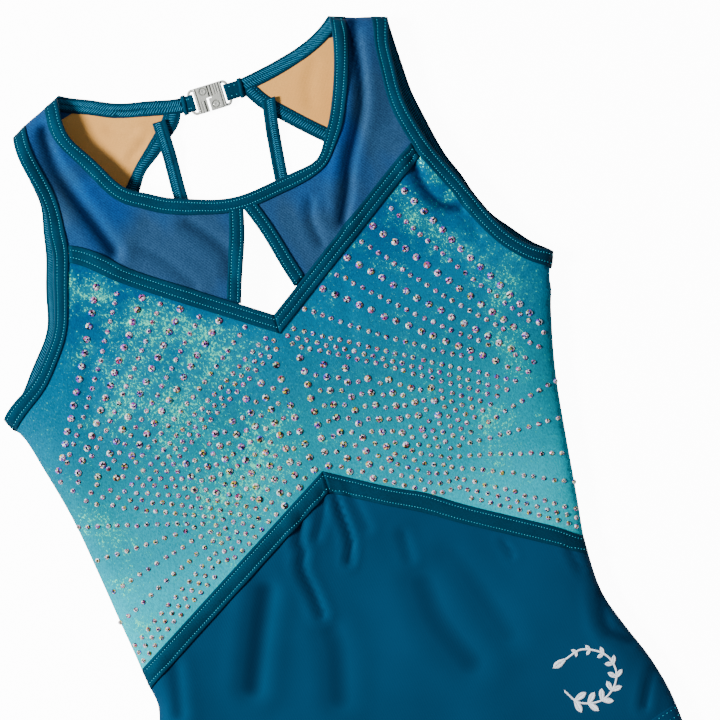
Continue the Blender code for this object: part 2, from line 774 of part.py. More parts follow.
def make_clasp(looks):
    """The left half's hooked plate slides along the right half's groove, out at the top."""
    wide = CLASP_HALF_WIDTH
    plate_low = CLASP_HIGH - 1.6
    hook_low = CLASP_LOW + 0.9
    floor_high = hook_low - GAP
    left = clasp_frame(-1, 2.2)
    left.append((-2.2, 1.4, 0.2, wide, plate_low, CLASP_HIGH))
    left.append((-0.3, 1.4, 0.2, wide, hook_low, plate_low))
    right = clasp_frame(1, 1.7)
    right.append((-1.9, 1.7, -0.1, wide, CLASP_LOW, floor_high))
    right.append((-1.9, -0.6, 0.2, wide, floor_high, plate_low - GAP))
    right.append((-1.9, 1.7, -wide, -0.1, CLASP_LOW, CLASP_HIGH))
    moving = boxes("clasp_half_left", left, looks["clear"])
    set_origin(moving, *CLASP_CENTRE, CLASP_LOW)
    boxes("clasp_half_right", right, looks["clear"])


def make_tabs(looks):
    """Cloth loops round the clasp's two bars, sewn shut at the end that joins the neck band."""
    fold = SLOT_OUTER - GAP
    shut = CLASP_HALF_LENGTH + GAP
    wide = TAB_HALF
    for side, name, end in ((-1, "left", TAB_END_LEFT), (1, "right", TAB_END_RIGHT)):
        layer = sideways(side, fold, shut)
        parts = [(*sideways(side, fold - TAB_WALL, fold), -wide, wide, TAB_LOW, TAB_HIGH),
                 (*layer, -wide, wide, TAB_LOW, TAB_LOW + TAB_WALL),
                 (*layer, -wide, wide, TAB_HIGH - TAB_WALL, TAB_HIGH),
                 (*sideways(side, shut, end), -wide, wide, TAB_LOW, TAB_HIGH)]
        tab = boxes("clasp_tab_" + name, parts, looks["binding"])
        if name == "left":
            set_origin(tab, *CLASP_CENTRE, CLASP_LOW)


def make_looks():
    return {
        "binding": material("binding_teal", TEAL, 0.75),
        "brief": material("brief_teal", BRIEF_TEAL, 0.7),
        "yoke": material("yoke_mesh_blue", YOKE_BLUE, 0.85),
        "bodice": material("bodice_foil_teal", BODICE_TEAL, 0.45),
        "nude": material("nude_lining", NUDE, 0.9),
        "elastic": material("elastic_white", ELASTIC_WHITE, 0.85),
        "clear": material("clasp_clear", CLEAR, 0.15),
        "thread": material("embroidery_white", THREAD_WHITE, 0.5),
    }


def main():
    clear_scene()
    looks = make_looks()
    neck = neck_front_stations()
    front_arm = armhole_stations(FRONT_ARMHOLE)
    back_arm = armhole_stations(BACK_ARMHOLE)
    front_leg = leg_stations(FRONT_LEG)
    back_leg = leg_stations(BACK_LEG)
    keyhole = keyhole_stations()
    back_v = back_v_stations(back_arm)

    make_front_yokes(neck, front_arm, keyhole, looks)
    make_body_panels(front_arm, back_arm, front_leg, back_leg, looks)
    channel("neck_binding_front", neck, front, looks["binding"])
    make_strips(chest_stations(front_arm), waist_stations(), looks)
    for side, flip, band_end, top in (("right", list, BAND_END_RIGHT, DIAGONAL_TOP_RIGHT),
                                      ("left", mirror, BAND_END_LEFT, DIAGONAL_TOP_LEFT)):
        back_neck = neck_back_stations(band_end)
        diagonal = diagonal_stations(top)
        make_back_yoke(side, flip, back_neck, back_arm, diagonal, looks)
        channel("neck_binding_back_" + side, flip(back_neck), back, looks["binding"])
        channel("back_yoke_binding_" + side, flip(diagonal), back, looks["binding"])
        channel("back_bodice_binding_" + side, flip(back_v), back, looks["binding"])
        channel("armhole_binding_front_" + side, flip(front_arm), front, looks["binding"])
        channel("armhole_binding_back_" + side, flip(back_arm), back, looks["binding"])
        channel("keyhole_binding_" + side, flip(keyhole), front, looks["binding"])
        make_leg("front_" + side, flip(front_leg), front, -1, looks)
        make_leg("back_" + side, flip(back_leg), back, 1, looks)
    make_straps(looks)
    make_seams(looks)
    make_clasp(looks)
    make_tabs(looks)
    rise = CLOTH / 2 + 2 * GAP
    panel("hip_embroidery", sprig_outline(), rise, rise + 0.6, front, looks["thread"], 30.0)


main()
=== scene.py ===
"""Looks of the gymnastics leotard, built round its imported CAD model.

Each soft CAD solid is replaced by a fine piece: curved panels with soft creases, folded bindings
with sewn grooves, thread by thread stitching, glass stones and an embroidered wreath. Pattern
points are millimetres on the flat garment, as in the part's own source: x across it and y up it,
with y = 0 at the underarm. piece() turns them into metres in the CAD model's frame.
"""

import math

import bmesh
import bpy
import numpy as np
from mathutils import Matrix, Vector
from mathutils.geometry import delaunay_2d_cdt


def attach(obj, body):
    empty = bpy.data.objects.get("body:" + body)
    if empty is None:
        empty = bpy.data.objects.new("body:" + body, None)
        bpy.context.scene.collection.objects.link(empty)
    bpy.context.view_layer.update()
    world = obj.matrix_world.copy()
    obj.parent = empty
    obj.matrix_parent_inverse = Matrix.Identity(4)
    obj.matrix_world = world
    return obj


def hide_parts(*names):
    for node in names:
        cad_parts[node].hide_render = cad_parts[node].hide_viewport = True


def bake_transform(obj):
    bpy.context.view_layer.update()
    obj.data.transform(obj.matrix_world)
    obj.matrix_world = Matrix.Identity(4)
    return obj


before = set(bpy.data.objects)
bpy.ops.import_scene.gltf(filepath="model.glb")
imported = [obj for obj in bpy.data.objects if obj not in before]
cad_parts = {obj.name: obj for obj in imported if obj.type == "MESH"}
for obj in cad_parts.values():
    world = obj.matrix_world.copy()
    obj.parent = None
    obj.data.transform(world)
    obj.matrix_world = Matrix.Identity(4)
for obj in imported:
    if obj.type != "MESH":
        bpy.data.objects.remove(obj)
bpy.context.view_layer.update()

MM = 0.001
UNDERARM_Y = 132.0            # model y of the underarm line

# Outlines of the right half, seen from the front
SIDE_SEAM = [(157, 2), (151, -8), (147, -25), (142, -45), (138, -65), (134, -95), (131, -120),
             (127.5, -148), (126.5, -170), (128, -186), (134, -204), (142, -225), (147, -245),
             (149, -264)]
SHOULDER = [(78, 166), (90, 160), (100, 156), (108, 153)]
FRONT_NECK = [(0, 84), (20, 86), (38, 89.5), (50, 98), (59, 107), (66, 121), (72, 137),
              (76, 152), (78, 166)]
BACK_NECK = [(20, 146), (30, 147.5), (40, 149.5), (50, 152.5), (60, 156.5), (70, 161), (78, 166)]
FRONT_ARMHOLE = [(105, 154.1), (104, 130), (103, 112), (104, 98), (107, 83), (112, 68),
                 (117, 56), (125, 40), (136, 22), (147, 10), (157, 2)]
BACK_ARMHOLE = [(108, 153), (108, 130), (108, 112), (110, 98), (113, 83), (118, 65), (124, 50),
                (131, 36), (142, 20), (151, 9), (157, 2)]
FRONT_LEG = [(149, -264), (135, -268), (118, -277), (98, -294), (78, -318), (60, -348),
             (47, -380), (38, -408), (35, -430)]
BACK_LEG = [(149, -264), (138, -270), (125, -281), (110, -298), (92, -322), (73, -352),
            (55, -384), (41, -410), (35, -430)]
CROTCH_Y = -430.0
CROTCH_HALF = 35.0
GUSSET_TOP = -345.0

# Straight lines across the garment: height at the centre line and slope towards the side
CHEST_TOP, CHEST_SLOPE = 16.0, 0.69
WAIST_TOP, WAIST_SLOPE = -74.0, -0.59
BACK_V_TOP, BACK_V_SLOPE = 8.0, 0.698
KEYHOLE_APEX = (0.25, 75.6)
KEYHOLE_FOOT = (15.4, 27.05)
KEYHOLE_TUCK = 1.8            # how far its bindings reach on under the neck binding
BACK_DIAGONAL = [(91, 71.95), (75, 82), (54, 99.5), (35, 118), (26, 128)]
DIAGONAL_TOP_LEFT = (17.2, 138.8)
DIAGONAL_TOP_RIGHT = (18.8, 139.3)
BAND_END_LEFT = 14.5
BAND_END_RIGHT = 21.0
BAND_END_Y = 145.5            # height of the left neck band's end
BAND_END_CLIMB = 0.09         # how much higher the band's end lies for each mm further out
BACK_SHOULDER = (7.52, -3.76)  # direction in which the back neck band is cut at the shoulder

# Fabric and trim
CLOTH = 0.7                   # thickness of a panel
MESH = 0.4                    # thickness of the yokes' mesh
LINING = 0.3
LINING_RISE = 0.56            # middle of a lining, off the middle of its cloth
GUSSET_RISE = LINING_RISE + 0.2
GAP = 0.3                     # clearance beside a binding, and from a strip's middle to a panel
BINDING = 8.0                 # width of a folded binding
BINDING_HALF = 1.3            # half its thickness
SLOT = 0.75                   # half the slot that holds the panels' edges
STRIP_DROP = 11.0             # chest strip's height on the centre line
WAIST_DROP = 12.0
HEM = 10.0
EDGE_INSET = 1.2              # from a bound edge in to the panel's cut edge
LINING_INSET = 4.0            # from a bound edge in to the lining's cut edge, under the binding
LINING_NECK_END = 156.0       # how high a back lining reaches beside the neck and the armhole
LINING_ARM_END = 150.0
FRONT_LINING_END = 142.0
STEP = 2.4                    # spacing of the stations along an edge
GRID = 2.8                    # spacing of a panel's inner points
BACK_GRID = 4.0               # spacing of the back panels' inner points
LINING_GRID = 5.0             # spacing of the gusset lining's inner points
ROW_RATIO = 0.87              # spacing of the rows of inner points over that within a row
CORNER_GAP = 1.2              # least gap from an outline's corner to the next point of a side
PAST_CENTRE = -0.1            # x at which the right half of a strip begins
TURN = 12.0                   # length over which a band's slanted end turns square

# Height of the two layers: they meet along the folds, round over, and lie flat in the middle
ROUND_REACH = 20.0
FRONT_FOLD, FRONT_FLAT = 7.5, 13.0
BACK_FOLD, BACK_FLAT = 7.2, 1.5
CALM_REACH = 12.0             # distance from a fold within which unevenness fades out
CLEAR_OF_BACK = 4.4           # room that a front crease leaves over the back layer
RIPPLES = 10                  # number of waves in a layer's unevenness
SHORTEST_RIPPLE, LONGEST_RIPPLE = 24.0, 80.0
RIPPLE_SCALE = 4.5            # brings the sum of the waves to between about -1 and 1
FRONT_UNEVEN, BACK_UNEVEN = 0.45, 0.2
DEEPEST = 2.5                 # greatest depth that a piece's valley attribute can say

# How the layers lie: each tug is a place of the pattern, its shift, and the reach it fades over
SHARED_TUGS = [
    ((-127, -169), (2.0, -0.5), 9), ((125, -149), (-0.5, -1.5), 9),
    ((149, -15), (1.0, -0.5), 6), ((156, 3), (0.5, 2.0), 8),
]
FRONT_TUGS = SHARED_TUGS + [
    ((-75, 145), (-4.0, -1.0), 15), ((-38, 92), (2.2, 5.0), 21), ((-107, 143), (-4.5, 0.0), 23),
    ((-106, 155), (0.0, -2.5), 8), ((-123, 46), (3.6, -2.0), 21), ((-152, 7), (-3.0, 3.4), 15),
    ((-90, 79), (2.5, 3.2), 18), ((-106, 94), (-1.6, -1.4), 10), ((0, 62), (2.0, 0.0), 21),
    ((82, 163), (-0.5, -2.5), 8), ((103, 155), (3.5, 0.0), 10), ((47, 95), (2.2, -3.5), 10),
    ((117, 58), (3.0, 1.5), 26), ((105, 90), (1.2, -0.4), 14), ((51, -104), (0.0, 1.8), 14),
]
BACK_TUGS = SHARED_TUGS + [
    ((-64, 158), (0.5, 1.8), 16), ((-34, 149), (0.5, 1.5), 14), ((-22, 133), (2.7, -1.0), 9),
    ((-42, 111), (-2.6, 1.0), 9), ((-103, 155), (-0.8, -3.6), 11), ((-109, 113), (2.4, -0.6), 14),
    ((-114, 86), (1.8, -0.5), 18), ((-125, 47), (3.4, -1.0), 16), ((-155, 4), (-1.6, 2.8), 9),
    ((62, 158), (0.0, -1.8), 15), ((80, 165), (-0.8, -1.0), 8), ((112, 96), (1.4, -0.4), 30),
    ((119, 60), (1.5, 0.0), 10), ((133, 32), (-1.4, 0.6), 8),
]

# Creases of the front layer: a line down the valley, its depth and its half width
FRONT_CREASES = [
    ([(-92, 150), (-93, 138), (-92, 124), (-86, 107), (-80, 91), (-75, 76)], 2.2, 4.6),
    ([(-86, 146), (-81, 132), (-74, 118)], 0.9, 2.2),
    ([(-101, 138), (-99, 118), (-96, 100)], 0.8, 3.0),
    ([(-72, 108), (-62, 96), (-52, 84)], 0.4, 4.0),
    ([(-31, 78), (-20, 64), (-15, 54), (-16, 44)], 1.1, 3.6),
    ([(-60, 72), (-50, 62), (-38, 45)], 0.7, 3.4),
    ([(88, 158), (87, 150), (84.5, 132), (80, 114), (74, 102), (64, 85), (57, 68), (50, 54)],
     2.2, 3.4),
    ([(98, 140), (97, 120), (92, 100)], 0.5, 5.0),
    ([(37, 70), (34, 60), (36, 46)], 1.1, 2.4),
    ([(46, 66), (44, 56)], 0.7, 2.0),
    ([(99, 77), (98, 64), (101, 53.5), (106, 46), (115, 41.5)], 1.9, 2.8),
    ([(117, 36), (119.5, 24)], 0.6, 3.0),
    ([(40, 20), (38, 0), (33, -20)], 0.35, 4.0),
    ([(-60, 5), (-63, -20), (-58, -48)], 0.35, 5.0),
    ([(-104, 24), (-112, 2), (-116, -22)], 0.4, 5.0),
    ([(2.4, -87), (2.9, -100), (3.6, -113), (2.3, -119), (-0.8, -126)], 1.7, 2.0),
    ([(-19, -97), (-24, -107), (-23.5, -114), (-27, -122), (-25, -135), (-23.5, -149)], 1.5, 2.6),
    ([(-3, -87), (-8, -99), (-14, -108)], 0.9, 2.2),
    ([(11, -92), (13, -103), (14, -111)], 0.6, 2.6),
    ([(32, -120), (32, -134)], 0.6, 2.6),
    ([(-50, -128), (-61, -151), (-72, -176)], 1.5, 6.0),
    ([(-22, -160), (-22, -172), (-28, -196)], 0.9, 6.5),
    ([(35, -150), (36, -172), (47, -198)], 0.9, 8.0),
    ([(54, -140), (64, -168), (70, -190)], 0.6, 7.0),
    ([(83.5, -140), (85, -145), (86, -150)], 0.7, 1.6),
    ([(117, -155), (118, -162), (119, -168)], 1.0, 1.9),
    ([(126, -182), (124, -192), (123.5, -203), (128, -208), (134, -213)], 1.6, 3.4),
    ([(131, -250), (136, -240), (141, -231)], 1.2, 2.4),
    ([(-110, -152), (-112, -164), (-115, -178)], 1.0, 4.0),
    ([(-128, -246), (-122, -232), (-112, -216)], 0.8, 3.6),
    ([(0, -415), (3, -390), (-2, -360)], 0.6, 6.0),
    ([(-40, -360), (-30, -330), (-26, -300)], 0.6, 6.0),
    ([(52, -340), (38, -320), (30, -290)], 0.6, 6.0),
]
BACK_CREASES = [
    ([(-58, 141), (-50, 137), (-43, 135.5)], -0.8, 1.4),
    ([(-39.5, 128.5), (-44, 125.5), (-50, 122)], -0.8, 2.2),
    ([(-50, 147), (-44, 144.5), (-38, 144)], -0.4, 1.4),
    ([(62, 142), (56, 132), (54, 122)], -0.4, 3.0),
]

# Straps: centre line from the back bodice up over the diagonal binding, and its middle's height
STRAP_WIDTH = 7.7
STRAP_HALF = 0.9
LEFT_STRAP = [(-26, 26.9), (-28.3, 60), (-30, 91), (-29.4, 111), (-29.1, 118.5), (-29.2, 136.6)]
RIGHT_STRAP = [(21.5, 23.8), (24, 60), (26.3, 88), (28.6, 108), (29.6, 115.5), (32.3, 131)]
STRAP_HEIGHTS = [1.5, 1.5, 1.5, 2.0, 4.2, 4.2]

# Clasp, about its own centre
CLASP_CENTRE = (1.5, 141.0)
SLOT_OUTER = 9.2
TAB_HALF = 4.7
TAB_END_LEFT, TAB_END_RIGHT = 15.7, 19.2

# Threads
STITCH_PITCH = 1.55
STITCH_LENGTH = 0.7
THREAD = 0.25                 # radius of a sewing thread
LOOPER_THREAD = 0.27

# Embroidered wreath on the hip: an open ring of stem, with leaves from its foot upwards
WREATH_STEM = [(91.5, -229), (97.5, -237.5), (109, -240), (118, -235), (122, -226), (118.5, -216),
              (107.5, -210), (97, -212.5)]
LEAF_SPACING = 7.4
LEAF_LENGTH = 8.0
LEAF_HALF = 1.8
LEAF_TURN = 48.0              # degrees between a leaf and its stem
SATIN_PITCH = 0.42            # distance between two satin threads along a leaf

# Stones of the right half: each row's stone radius, its pitch, and points it runs through
BIG, SMALL = 1.95, 1.35
STONE_ROWS = [
    (BIG, 7.4, [(89, 59.5), (106, 26.5), (138, -31)]),
    (SMALL, 5.3, [(79, 52.5), (107, 7.5), (139, -37)]),
    (BIG, 7.4, [(66.5, 46.5), (97, 6), (128.5, -35.5)]),
    (SMALL, 5.3, [(58, 40), (95, -4.5), (134, -44)]),
    (BIG, 7.4, [(48, 34), (87.5, -8.5), (119, -40.5)]),
    (SMALL, 5.3, [(39.5, 27), (82, -13.5), (129, -51)]),
    (BIG, 7.3, [(30, 21.5), (68.5, -11.5), (109, -44)]),
    (SMALL, 5.3, [(17, 14), (60.5, -17), (124, -55)]),
    (SMALL, 5.3, [(8.5, 5), (58.5, -24.5), (116, -58)]),
    (SMALL, 5.3, [(4, 2.5), (54, -27), (110, -61)]),
    (SMALL, 5.3, [(4.5, -2.5), (50, -29), (104, -63)]),
    (SMALL, 5.3, [(76, -51), (99, -66)]),
    (SMALL, 5.3, [(75, -55), (94, -68)]),
    (SMALL, 5.3, [(75, -60.5), (89, -70.5)]),
    (SMALL, 5.3, [(75, -66), (84, -72.5)]),
    (SMALL, 5.6, [(79.5, -79.5), (110.5, -71), (137.5, -64)]),
    (SMALL, 5.6, [(71, -82.5), (98.5, -84), (132.5, -84.5)]),
    (SMALL, 5.6, [(69, -87.5), (96, -94), (129, -103.5)]),
    (SMALL, 5.6, [(69, -93), (94.5, -104), (130.5, -121)]),
    (SMALL, 5.6, [(73.5, -101.5), (98, -116.5), (126.5, -135)]),
    (SMALL, 5.6, [(73.5, -107), (98.5, -122), (126, -140)]),
    (SMALL, 5.6, [(74, -112.5), (98.5, -127), (125, -144.5)]),
]
# Upright rows, from the chest strip down: radius, pitch, and the top and foot of the row
STONE_COLUMNS = [
    (BIG, 7.6, [(7, -11), (4, -72)]), (BIG, 7.6, [(18, -18), (14.5, -79)]),
    (BIG, 7.6, [(28.5, -24), (25.5, -86)]), (BIG, 7.6, [(39.3, -33), (37, -79)]),
    (BIG, 7.5, [(50, -37), (48, -74)]), (BIG, 7.6, [(60, -45), (59, -68)]),
    (BIG, 7.3, [(70.5, -48), (70, -63)]), (SMALL, 9.2, [(12.5, -22.5), (10.5, -75)]),
    (SMALL, 8.0, [(23.5, -27.5), (21, -81)]), (SMALL, 6.6, [(33.5, -33), (31.5, -89)]),
    (SMALL, 6.4, [(44.5, -37.5), (43, -71)]), (SMALL, 6.0, [(55, -41.5), (53, -71)]),
    (SMALL, 5.8, [(65, -47.5), (64.5, -65)]),
]
# Short upright rows down to the waist strip: x and the height of the top stone
LOW_COLUMN_PITCH = 5.1
LOW_COLUMN_FOOT = 3.4         # height of a row's foot over the strip's upper edge
LOWEST_STONE = -105
LOW_COLUMNS = [(36.2, -85), (41, -77), (45.7, -80), (50.5, -77.5), (55, -75.5), (60, -72.5),
               (64.6, -70.5), (69.5, -68), (74.5, -71.5), (79.5, -74.5)]


# ---------------------------------------------------------------- curves on the flat garment

def curve(points, step=STEP):
    """Points about step apart on a smooth curve through the given points."""
    knots = [Vector(point) for point in points]
    first = knots[0] * 2 - knots[1]
    last = knots[-1] * 2 - knots[-2]
    hull = [first] + knots + [last]
    fine = []
    for index in range(1, len(hull) - 2):
        fine += [spline_point(hull[index - 1:index + 3], part / 16) for part in range(16)]
    fine.append(knots[-1])
    return resample(fine, step)


def spline_point(four, t):
    before, start, end, after = four
    return (start * 2 + (end - before) * t
            + (before * 2 - start * 5 + end * 4 - after) * t ** 2
            + (start * 3 - before - end * 3 + after) * t ** 3) / 2


def resample(fine, step):
    lengths = [(after - before).length for before, after in zip(fine, fine[1:])]
    total = sum(lengths)
    count = max(1, round(total / step))
    points = [fine[0]]
    index = 0
    passed = 0.0
    for part in range(1, count):
        target = total * part / count
        while passed + lengths[index] < target:
            passed += lengths[index]
            index += 1
        points.append(fine[index].lerp(fine[index + 1], (target - passed) / lengths[index]))
    points.append(fine[-1])
    return points


def line(start, end):
    return curve([start, end])


def right_of(direction):
    return Vector((direction.y, -direction.x)).normalized()


def slant(direction, along, width):
    """Vector across a band of this width, when its end is cut along another direction."""
    cut = Vector(along).normalized()
    return cut * (width / cut.dot(right_of(Vector(direction))))


def band(points, width, start=None, end=None, step=STEP):
    """Stations of a band that lies to the right of a curve: edge point and vector across."""
    path = curve(points, step)
    spacing = (path[1] - path[0]).length
    stations = []
    for index, point in enumerate(path):
        before = path[max(index - 1, 0)]
        after = path[min(index + 1, len(path) - 1)]
        across = right_of(after - before) * width
        left_over = (len(path) - 1 - index) * spacing
        if start is not None:
            across = Vector(start).lerp(across, min(1.0, index * spacing / TURN))
        if end is not None:
            across = Vector(end).lerp(across, min(1.0, left_over / TURN))
        stations.append((point, across))
    return stations


def cut_band(points, width, start_along, end_along):
    """Stations of a band whose ends are cut along the directions of the seams they meet."""
    first = Vector(points[1]) - Vector(points[0])
    last = Vector(points[-1]) - Vector(points[-2])
    return band(points, width, slant(first, start_along, width), slant(last, end_along, width))


def between(upper, lower, step=STEP):
    """Stations of a straight band, from its end points on its upper and its lower edge."""
    count = max(1, round((Vector(upper[1]) - Vector(upper[0])).length / step))
    stations = []
    for part in range(count + 1):
        top = Vector(upper[0]).lerp(Vector(upper[1]), part / count)
        bottom = Vector(lower[0]).lerp(Vector(lower[1]), part / count)
        stations.append((top, bottom - top))
    return stations


def as_array(points):
    return np.array([tuple(point) for point in points])


def inset(stations, distance, width=BINDING):
    return [point + across * (distance / width) for point, across in stations]


def mirror(items):
    flipped = []
    for item in items:
        if isinstance(item, tuple):
            flipped.append((Vector((-item[0].x, item[0].y)), Vector((-item[1].x, item[1].y))))
        else:
            flipped.append(Vector((-item.x, item.y)))
    return flipped


def meeting(height, slope, path):
    """Where the line y = height + slope * x crosses a path."""
    for before, after in zip(path, path[1:]):
        low = before.y - height - slope * before.x
        high = after.y - height - slope * after.x
        if low * high <= 0:
            return before.lerp(after, low / (low - high))
    raise ValueError("the line misses the path")


def within(path, low, high):
    return [point for point in path if low < point.y < high]


# ---------------------------------------------------------------- height of the two layers

def segments(*paths):
    """Start and end points of all the segments of some paths."""
    starts = [tuple(point) for path in paths for point in path[:-1]]
    ends = [tuple(point) for path in paths for point in path[1:]]
    return np.array(starts), np.array(ends)


def distance_to(ends_of, x, y):
    """Distance of each point from the nearest of the segments."""
    starts, ends = ends_of
    points = np.stack((x, y), -1)[..., None, :]
    span = ends - starts
    along = ((points - starts) * span).sum(-1) / (span ** 2).sum(-1)
    foot = starts + np.clip(along, 0, 1)[..., None] * span
    return np.sqrt(((points - foot) ** 2).sum(-1)).min(-1)


FOLDS = segments(curve(SIDE_SEAM, 7.0), curve(SHOULDER, 7.0),
                 [Vector((0, CROTCH_Y)), Vector((CROTCH_HALF, CROTCH_Y))])


def shifted(tugs, x, y):
    """Where spots of the pattern lie, once every tug has moved the cloth near it."""
    lying_x, lying_y = x, y
    for place, shift, reach in tugs:
        near = np.exp(-((x - place[0]) ** 2 + (y - place[1]) ** 2) / reach ** 2)
        lying_x = lying_x + near * shift[0]
        lying_y = lying_y + near * shift[1]
    return lying_x, lying_y


def pattern_spots(tugs, x, y):
    """The spots of the pattern that lie at these places."""
    spot_x, spot_y = x, y
    for _ in range(4):
        lying_x, lying_y = shifted(tugs, spot_x, spot_y)
        spot_x, spot_y = spot_x + x - lying_x, spot_y + y - lying_y
    return spot_x, spot_y


def valley(path, tugs):
    fine = as_array(curve(path, 6.0))
    x, y = pattern_spots(tugs, fine[:, 0], fine[:, 1])
    return segments([Vector(point) for point in zip(x, y)])


FRONT_VALLEYS = [(valley(path, FRONT_TUGS), deep, wide) for path, deep, wide in FRONT_CREASES]
BACK_VALLEYS = [(valley(path, BACK_TUGS), deep, wide) for path, deep, wide in BACK_CREASES]


def creases(valleys, x, y):
    """Sum of soft valleys, each with a low ridge along its two sides."""
    total = np.zeros_like(x)
    for ends_of, deep, wide in valleys:
        part = distance_to(ends_of, x, y) / wide
        total += deep * (0.4 * np.exp(-(part - 2.0) ** 2) - np.exp(-part ** 2))
    return total


def ripple(x, y, seed):
    """Smooth unevenness between about -1 and 1."""
    random = np.random.default_rng(seed)
    total = np.zeros_like(x)
    for _ in range(RIPPLES):
        angle, phase = random.uniform(0, 2 * math.pi, 2)
        wave = 2 * math.pi / random.uniform(SHORTEST_RIPPLE, LONGEST_RIPPLE)
        total += np.sin((x * math.cos(angle) + y * math.sin(angle)) * wave + phase)
    return total / RIPPLE_SCALE


def rounding(distance):
    """0 at a fold and 1 where the layers lie flat, along a quarter of an ellipse."""
    part = np.clip((distance + 0.4) / ROUND_REACH, 0, 1)
    return np.sqrt(1 - (1 - part) ** 2)


def front(x, y):
    """Height of the front layer; a crease stops short of the back layer under it."""
    distance = distance_to(FOLDS, np.abs(x), y)
    flat = rounding(distance)
    gap = FRONT_FOLD - BACK_FOLD + (FRONT_FLAT - FRONT_FOLD - BACK_FLAT + BACK_FOLD) * flat
    uneven = FRONT_UNEVEN * ripple(x, y, 3) + creases(FRONT_VALLEYS, x, y)
    uneven = np.maximum(uneven, -np.maximum(gap - CLEAR_OF_BACK, 0))
    calm = np.clip(distance / CALM_REACH, 0, 1)
    return FRONT_FOLD + (FRONT_FLAT - FRONT_FOLD) * flat + uneven * calm


def back(x, y):
    distance = distance_to(FOLDS, np.abs(x), y)
    uneven = BACK_UNEVEN * (1 + ripple(x, y, 5)) - creases(BACK_VALLEYS, x, y)
    calm = np.clip(distance / CALM_REACH, 0, 1)
    return BACK_FOLD + (BACK_FLAT - BACK_FOLD) * rounding(distance) + uneven * calm


def surface(height, spots):
    """Points on a layer, at spots of its pattern, and the directions straight off it."""
    x, y = spots[..., 0], spots[..., 1]
    step = 0.4
    slope_x = (height(x + step, y) - height(x - step, y)) / (2 * step)
    slope_y = (height(x, y + step) - height(x, y - step)) / (2 * step)
    normal = np.stack((-slope_x, -slope_y, np.ones_like(x)), -1)
    normal /= np.linalg.norm(normal, axis=-1, keepdims=True)
    tugs = FRONT_TUGS if height is front else BACK_TUGS
    lying = (x, y) if getattr(height, "still", False) else shifted(tugs, x, y)
    return np.stack((*lying, height(x, y)), -1), normal


# ---------------------------------------------------------------- meshes

def placed(name, data):
    """A new object in the scene."""
    made = bpy.data.objects.new(name, data)
    bpy.context.scene.collection.objects.link(made)
    return made


def piece(name, points, faces, look, smooth=True, turn=True):
    """A new object from points in garment millimetres."""
    data = bpy.data.meshes.new(name)
    metres = (np.asarray(points, float) + (0, UNDERARM_Y, 0)) * MM
    data.from_pydata(metres.tolist(), [], faces)
    data.update()
    data.materials.append(look)
    if turn:
        mesh = bmesh.new()
        mesh.from_mesh(data)
        bmesh.ops.recalc_face_normals(mesh, faces=mesh.faces)
        mesh.to_mesh(data)
        mesh.free()
    if smooth:
        data.shade_smooth()
    return placed(name, data)


def set_lines(made, along, across):
    """A UV map in millimetres: along the band and across it."""
    loops = made.data.loops
    corner = np.zeros(len(loops), np.int32)
    loops.foreach_get("vertex_index", corner)
    layer = made.data.uv_layers.new(name="lines")
    spots = np.stack((np.asarray(along)[corner], np.asarray(across)[corner]), -1)
    layer.data.foreach_set("uv", spots.astype(np.float32).ravel())


def set_value(made, name, values):
    layer = made.data.attributes.new(name, "FLOAT", "POINT")
    layer.data.foreach_set("value", np.asarray(values, np.float32))


def wear(made, slot, *nodes, body="garment", bent=False):
    """Hide the CAD nodes that a piece stands for and tie it to its body; a bent piece is left untied,
    its place baked into its points. The finish, slot, is not used.
    """
    if nodes:
        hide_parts(*nodes)
    if bent:
        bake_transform(made)
    else:
        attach(made, body)


def as_arrays(stations):
    return as_array(point for point, _ in stations), as_array(vector for _, vector in stations)


def walls(rings, sides):
    """Quads between rings of points that follow one another."""
    faces = []
    for start in range(0, (rings - 1) * sides, sides):
        for index in range(sides):
            after = (index + 1) % sides
            faces.append((start + index, start + after, start + sides + after,
                          start + sides + index))
    return faces


def lengths_along(path):
    """Length of a path from its start to each of its points."""
    steps = np.linalg.norm(np.diff(path, axis=0), axis=1)
    return np.concatenate(([0], np.cumsum(steps)))


def sweep(name, stations, profile, height, look):
    """Solid along a band: the profile gives parts of its width, and rises off the layer."""
    edge, across = as_arrays(stations)
    part, rise = np.array(profile).T
    flat = edge[:, None] + across[:, None] * part[None, :, None]
    base, normal = surface(height, flat)
    points = (base + normal * rise[None, :, None]).reshape(-1, 3)
    count = len(profile)
    rings = len(stations)
    faces = walls(rings, count)
    faces.append(tuple(range(count)))
    faces.append(tuple((rings - 1) * count + index for index in range(count)))
    made = piece(name, points, faces, look)
    length = lengths_along(edge)
    width = np.linalg.norm(across, axis=1)
    round_way = np.concatenate(([0], np.cumsum(np.abs(np.diff(part)) + 0.02)))
    set_lines(made, np.repeat(length, count), (width[:, None] * round_way[None]).ravel())
    return made


def inside(x, y, starts, ends):
    """Whether each point lies inside a closed outline."""
    rising = (starts[:, 1] > y[:, None]) != (ends[:, 1] > y[:, None])
    run = (ends[:, 1] - starts[:, 1])
    run = np.where(run == 0, 1e-9, run)
    cross = starts[:, 0] + (ends[:, 0] - starts[:, 0]) * (y[:, None] - starts[:, 1]) / run
    return (rising & (x[:, None] < cross)).sum(1) % 2 == 1


def grid_points(outline, spacing):
    """Points inside an outline, in staggered rows."""
    corners = as_array(outline)
    low = corners.min(0)
    high = corners.max(0)
    columns = np.arange(low[0], high[0], spacing)
    rows = np.arange(low[1], high[1], spacing * ROW_RATIO)
    x, y = np.meshgrid(columns, rows)
    x = (x + (np.arange(len(rows)) % 2)[:, None] * spacing / 2).ravel()
    y = y.ravel()
    starts, ends = segments(outline + outline[:1])
    keep = inside(x, y, starts, ends)
    x = x[keep]
    y = y[keep]
    clear = distance_to((starts, ends), x, y) > spacing * 0.5
    return [Vector(spot) for spot in zip(x[clear].tolist(), y[clear].tolist())]


